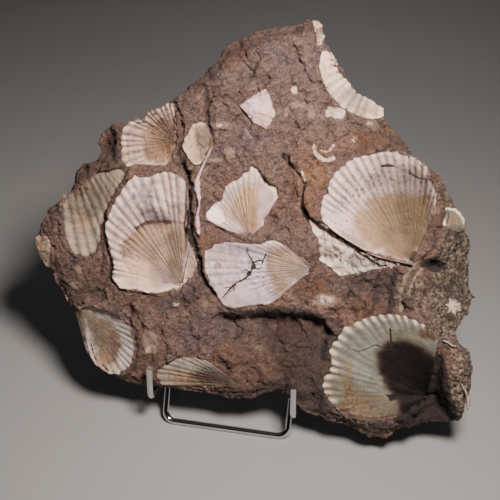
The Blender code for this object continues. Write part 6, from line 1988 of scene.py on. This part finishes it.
    def build(self, stand: WireStand) -> None:
        """Build the slab and dress it.

        Args:
            stand: The stand that the slab leans on.
        """
        slab, points, layer = self.blank()
        places = self.places(points, layer)
        put(slab, places)
        normals = np.empty(len(places) * 3, np.float32)
        slab.data.vertex_normals.foreach_get("vector", normals)
        normals = normals.reshape(-1, 3)
        marks = MarkMap(points, ROCK_MARKS)
        porous = marks.share(Mark.POROUS)
        coarse = rough_waves(places, 8.0, 4, 13.0)
        fine = rough_waves(places, 2.4, 2, 29.0)
        facets = broken_faces(places, 7.5, 0.18, 0.20, 61.0) + broken_faces(places, 3.6, 0.12, 0.22, 67.0)
        holes = pitted(places, 3.2, 37.0) * porous
        # Relief height kept for the material's painted shade and painted highlight.
        relief_shade = 0.45 * coarse + 0.55 * fine + 0.35 * facets
        shift = 0.6 * coarse + 0.5 * fine * (1.0 + 0.8 * porous) + facets - 1.8 * holes
        front = 1.0 - smooth_step(layer, 0.25, 0.75)
        shift *= (1.0 - 0.8 * self.seat_share(points)) * (1.0 - 0.92 * self.covered * front)
        places = self.clear_wires(places + normals * shift[:, None], stand)
        put(slab, places)
        write_mark(slab, Mark.GRAIN, np.clip(0.5 + 0.7 * relief_shade - 0.9 * holes, 0.0, 1.0))
        write_mark(slab, Mark.POROUS, porous * (0.4 + 0.6 * front))
        for mark in (Mark.PALE, Mark.TAN, Mark.RUST, Mark.GREY, Mark.DARK, Mark.DEEP, Mark.DIM):
            write_mark(slab, mark, marks.share(mark) * front)
        self.thin_back(slab, layer)
        deselect_all()
        slab.select_set(True)
        bpy.ops.object.shade_smooth()
        finish_piece(slab, "rock", RockFinish().material(), "matrix_slab")

    def thin_back(self, slab: bpy.types.Object, layer: np.ndarray) -> None:
        """Give the hidden back and the flanks fewer faces.

        Args:
            slab: The slab at its full detail.
            layer: Each vertex's share of the way from the front to the back.
        """
        group = slab.vertex_groups.new(name="back")
        weights = np.round(smooth_step(layer, 0.35, 0.9), 1)
        for weight in np.unique(weights[weights > 0.0]):
            group.add(np.flatnonzero(weights == weight).tolist(), float(weight), "REPLACE")
        triangles = sum(len(face.vertices) - 2 for face in slab.data.polygons)
        decimate = slab.modifiers.new("fewer", "DECIMATE")
        decimate.ratio = min(1.0, self.most_triangles / triangles)
        decimate.vertex_group = group.name
        decimate.vertex_group_factor = 10.0
        apply_modifier(slab, decimate.name)
        slab.vertex_groups.clear()


@dataclass
class SmallShells:
    """The chips and blades of shell that rest on the rock."""

    slab: RockSlab
    thickness: float = 1.6
    around: int = 132
    rows: int = 48
    rim_share: float = 0.66
    rim_turn: float = 0.12
    unevenness: float = 0.5
    blade_rows: int = 110
    blade_around: int = 22

    def chip(self, chip: Chip) -> bpy.types.Object:
        """Return a closed plate with a rounded, slightly broken rim."""
        piece, across, upward = add_grid(chip.name + "_shell", self.around, self.rows)
        center = np.array(chip.center())
        angle = 2 * math.pi * across
        circle = np.column_stack((np.cos(angle), np.sin(angle)))
        outer = ray_reach(chip.center(), chip.rim(), angle)
        outer += self.unevenness * (waves(circle * outer[:, None], 2.2, center[0]) - 0.2)
        outer += 0.6 * self.unevenness * waves(circle * outer[:, None], 0.9, center[1])
        turned = math.pi * np.clip((upward - self.rim_share) / self.rim_turn, 0.0, 1.0)
        under = np.clip((1.0 - upward) / (1.0 - self.rim_share - self.rim_turn), 0.0, 1.0)
        top = np.clip(upward / self.rim_share, 0.0, 1.0)
        share = np.where(upward <= self.rim_share, top, np.where(turned < math.pi, 1.0, under))
        radius = share * outer + np.where(upward > self.rim_share, np.sin(turned) * 0.2, 0.0)
        points = circle * radius[:, None] + center
        height = self.slab.rock_height(circle * (share * outer)[:, None] + center) + chip.rise(share)
        height += 0.35 * waves(points, 3.0, center[1]) + 0.15 * waves(points, 1.1, center[0])
        height -= 0.5 * share ** 16.0
        drop = np.where(upward > self.rim_share, (1.0 - np.cos(turned)) / 2.0, 0.0)
        put(piece, FACE.places(points, height - self.thickness * drop))
        self.mark(piece, points, share, chip.marks)
        merge_doubles(piece, 0.00002)
        return piece

    def blade(self, blade: Blade) -> bpy.types.Object:
        """Return a closed thin wall of shell that stands in the rock."""
        piece, along, around = add_grid(blade.name + "_shell", self.blade_rows, self.blade_around)
        path = np.array(blade.path, float)
        stations = np.linspace(0.0, 1.0, len(path))
        middle = np.column_stack([np.interp(along, stations, path[:, axis]) for axis in (0, 1)])
        step = 0.04
        ahead = np.column_stack([np.interp(along + step, stations, path[:, axis]) for axis in (0, 1)])
        behind = np.column_stack([np.interp(along - step, stations, path[:, axis]) for axis in (0, 1)])
        run = ahead - behind
        run /= np.linalg.norm(run, axis=1)[:, None]
        side = np.column_stack((run[:, 1], -run[:, 0]))
        width = np.interp(along, stations, blade.widths) * (1.0 + 0.5 * waves(middle, 2.6, 5.0))
        ends = np.sqrt(np.clip(np.minimum(along, 1.0 - along) * 16.0, 0.0, 1.0))
        turn = 2 * math.pi * around
        offset = np.sin(turn) * width / 2.0 * ends
        points = middle + side * offset[:, None]
        half = (blade.height + blade.depth) / 2.0
        middle_height = (blade.height - blade.depth) / 2.0
        rock = self.slab.rock_height(middle)
        height = rock + middle_height + np.cos(turn) * half * ends + 0.5 * waves(middle, 2.0, 9.0)
        put(piece, FACE.places(points, height))
        self.mark(piece, points, along, ())
        merge_doubles(piece, 0.00002)
        return piece

    def mark(self, piece: bpy.types.Object, points: np.ndarray, reach: np.ndarray, marks: tuple) -> None:
        """Write every mark that a shell's material reads.

        Args:
            piece: The chip or blade.
            points: The place of each of its vertices on the face.
            reach: Each vertex's share of the way to the rim.
            marks: The piece's blobs and strokes.
        """
        shares = MarkMap(points, marks)
        write_mark(piece, Mark.RIB, np.ones(len(points)))
        write_mark(piece, Mark.REACH, reach)
        write_mark(piece, Mark.EARTH, smooth_step(reach, 0.80, 1.0))
        for mark in (Mark.ZONE, Mark.PIT, Mark.CRACK, Mark.GREY, Mark.TAN, Mark.PALE, Mark.RUST, Mark.DARK,
                     Mark.SPECKLE, Mark.DEEP, Mark.DIM):
            write_mark(piece, mark, shares.share(mark))

    def build(self, finishes: dict) -> None:
        """Build every chip and blade and dress them.

        Args:
            finishes: The material of each finish.
        """
        for chip in CHIPS:
            piece = self.chip(chip)
            self.smooth(piece)
            finish_piece(piece, chip.slot, finishes[chip.finish], chip.name)
        for blade in BLADES:
            piece = self.blade(blade)
            self.smooth(piece)
            finish_piece(piece, blade.slot, finishes[blade.finish], blade.name)

    def smooth(self, piece: bpy.types.Object) -> None:
        """Shade a piece smooth with its sharp edges kept."""
        deselect_all()
        piece.select_set(True)
        bpy.context.view_layer.objects.active = piece
        bpy.ops.object.shade_smooth_by_angle(angle=math.radians(50.0))


@dataclass
class Studio:
    """The camera, the pale floor and the soft light."""

    azimuth: float = math.radians(12.0)
    elevation: float = math.radians(32.0)
    distance: float = 720.0
    target: tuple[float, float, float] = (5.0, 60.0, 103.3)
    lens: float = 85.0
    sensor: float = 36.0
    floor_size: float = 8.0
    floor_color: Color = (0.245, 0.253, 0.255)
    key_place: tuple[float, float, float] = (180.0, -262.0, 522.0)
    key_size: float = 0.13
    key_power: float = 3.45
    key_spread: float = math.radians(110.0)
    key_color: Color = (1.0, 0.87, 0.79)
    back_place: tuple[float, float, float] = (0.0, 850.0, 450.0)
    back_size: float = 0.5
    back_power: float = 0.42
    room_dark: Color = (0.010, 0.009, 0.009)
    room_light: Color = (0.055, 0.053, 0.053)

    def camera(self) -> None:
        """Set the camera at the photograph's viewing angle."""
        back = np.array((math.sin(self.azimuth) * math.cos(self.elevation),
                         -math.cos(self.azimuth) * math.cos(self.elevation), math.sin(self.elevation)))
        right = np.array((math.cos(self.azimuth), math.sin(self.azimuth), 0.0))
        place = (np.array(self.target) + back * self.distance + OFFSET) * MM
        data = bpy.data.cameras.new("camera")
        data.lens = self.lens
        data.sensor_width = self.sensor
        camera = bpy.data.objects.new("camera", data)
        bpy.context.scene.collection.objects.link(camera)
        turn = Matrix((right, np.cross(back, right), back)).transposed()
        camera.matrix_world = Matrix.Translation(place) @ turn.to_4x4()
        bpy.context.scene.camera = camera

    def floor(self) -> None:
        """Lay the pale floor."""
        deselect_all()
        bpy.ops.mesh.primitive_plane_add(size=self.floor_size)
        floor = bpy.context.object
        floor.name = "floor"
        paint = Paint("pale_floor")
        cloudy = paint.noise(140.0, 2.0, 0.5)
        darker = tuple(channel * 0.93 for channel in self.floor_color)
        floor.data.materials.append(paint.finish(paint.blend(self.floor_color, darker, cloudy), 0.75))

    def light(self) -> None:
        """Set the soft key light, and the dim light from all round."""
        place = Vector((np.array(self.key_place) + OFFSET) * MM)
        toward = Vector((np.array(self.target) + OFFSET) * MM) - place
        data = bpy.data.lights.new("key", "AREA")
        data.shape = "DISK"
        data.size = self.key_size
        data.energy = self.key_power
        data.spread = self.key_spread
        data.color = self.key_color
        key = bpy.data.objects.new("key", data)
        bpy.context.scene.collection.objects.link(key)
        key.location = place
        key.rotation_euler = toward.to_track_quat("-Z", "Y").to_euler()
        self.back_fill()
        self.room()

    def back_fill(self) -> None:
        """Set the wide, dim light behind the slab."""
        place = Vector((np.array(self.back_place) + OFFSET) * MM)
        toward = Vector((np.array(self.target) + OFFSET) * MM) - place
        data = bpy.data.lights.new("back_fill", "AREA")
        data.shape = "DISK"
        data.size = self.back_size
        data.energy = self.back_power
        fill = bpy.data.objects.new("back_fill", data)
        bpy.context.scene.collection.objects.link(fill)
        fill.location = place
        fill.rotation_euler = toward.to_track_quat("-Z", "Y").to_euler()

    def room(self) -> None:
        """Set the dim room: dark all round and paler overhead."""
        world = bpy.data.worlds.new("studio")
        world.use_nodes = True
        tree = world.node_tree
        direction = tree.nodes.new("ShaderNodeTexCoord")
        parts = tree.nodes.new("ShaderNodeSeparateXYZ")
        shade = tree.nodes.new("ShaderNodeMapRange")
        shade.interpolation_type = "SMOOTHSTEP"
        shade.inputs["From Min"].default_value = 0.35
        shade.inputs["From Max"].default_value = 1.0
        mix = tree.nodes.new("ShaderNodeMix")
        mix.data_type = "RGBA"
        colors = [socket for socket in mix.inputs if socket.type == "RGBA"]
        colors[0].default_value = (*self.room_dark, 1.0)
        colors[1].default_value = (*self.room_light, 1.0)
        tree.links.new(direction.outputs["Generated"], parts.inputs[0])
        tree.links.new(parts.outputs["Z"], shade.inputs["Value"])
        tree.links.new(shade.outputs["Result"], mix.inputs[0])
        mixed = [socket for socket in mix.outputs if socket.type == "RGBA"][0]
        tree.links.new(mixed, tree.nodes["Background"].inputs["Color"])
        bpy.context.scene.world = world

    def build(self) -> None:
        """Build the studio."""
        self.camera()
        self.floor()
        self.light()


def main() -> None:
    """Build the stand, the slab, its shells and the studio."""
    logging.basicConfig(level=logging.INFO, format="%(message)s")
    stand = WireStand()
    stand.build()
    shells = [FanShell(valve) for valve in VALVES]
    slab = RockSlab(shells)
    slab.build(stand)
    finishes = {item.finish: item.finish.material() for item in (*VALVES, *CHIPS, *BLADES)}
    for shell in shells:
        piece = shell.build()
        finish_piece(piece, shell.valve.slot, finishes[shell.valve.finish], shell.valve.name)
    SmallShells(slab).build(finishes)
    Studio().build()


if __name__ == "__main__":
    main()
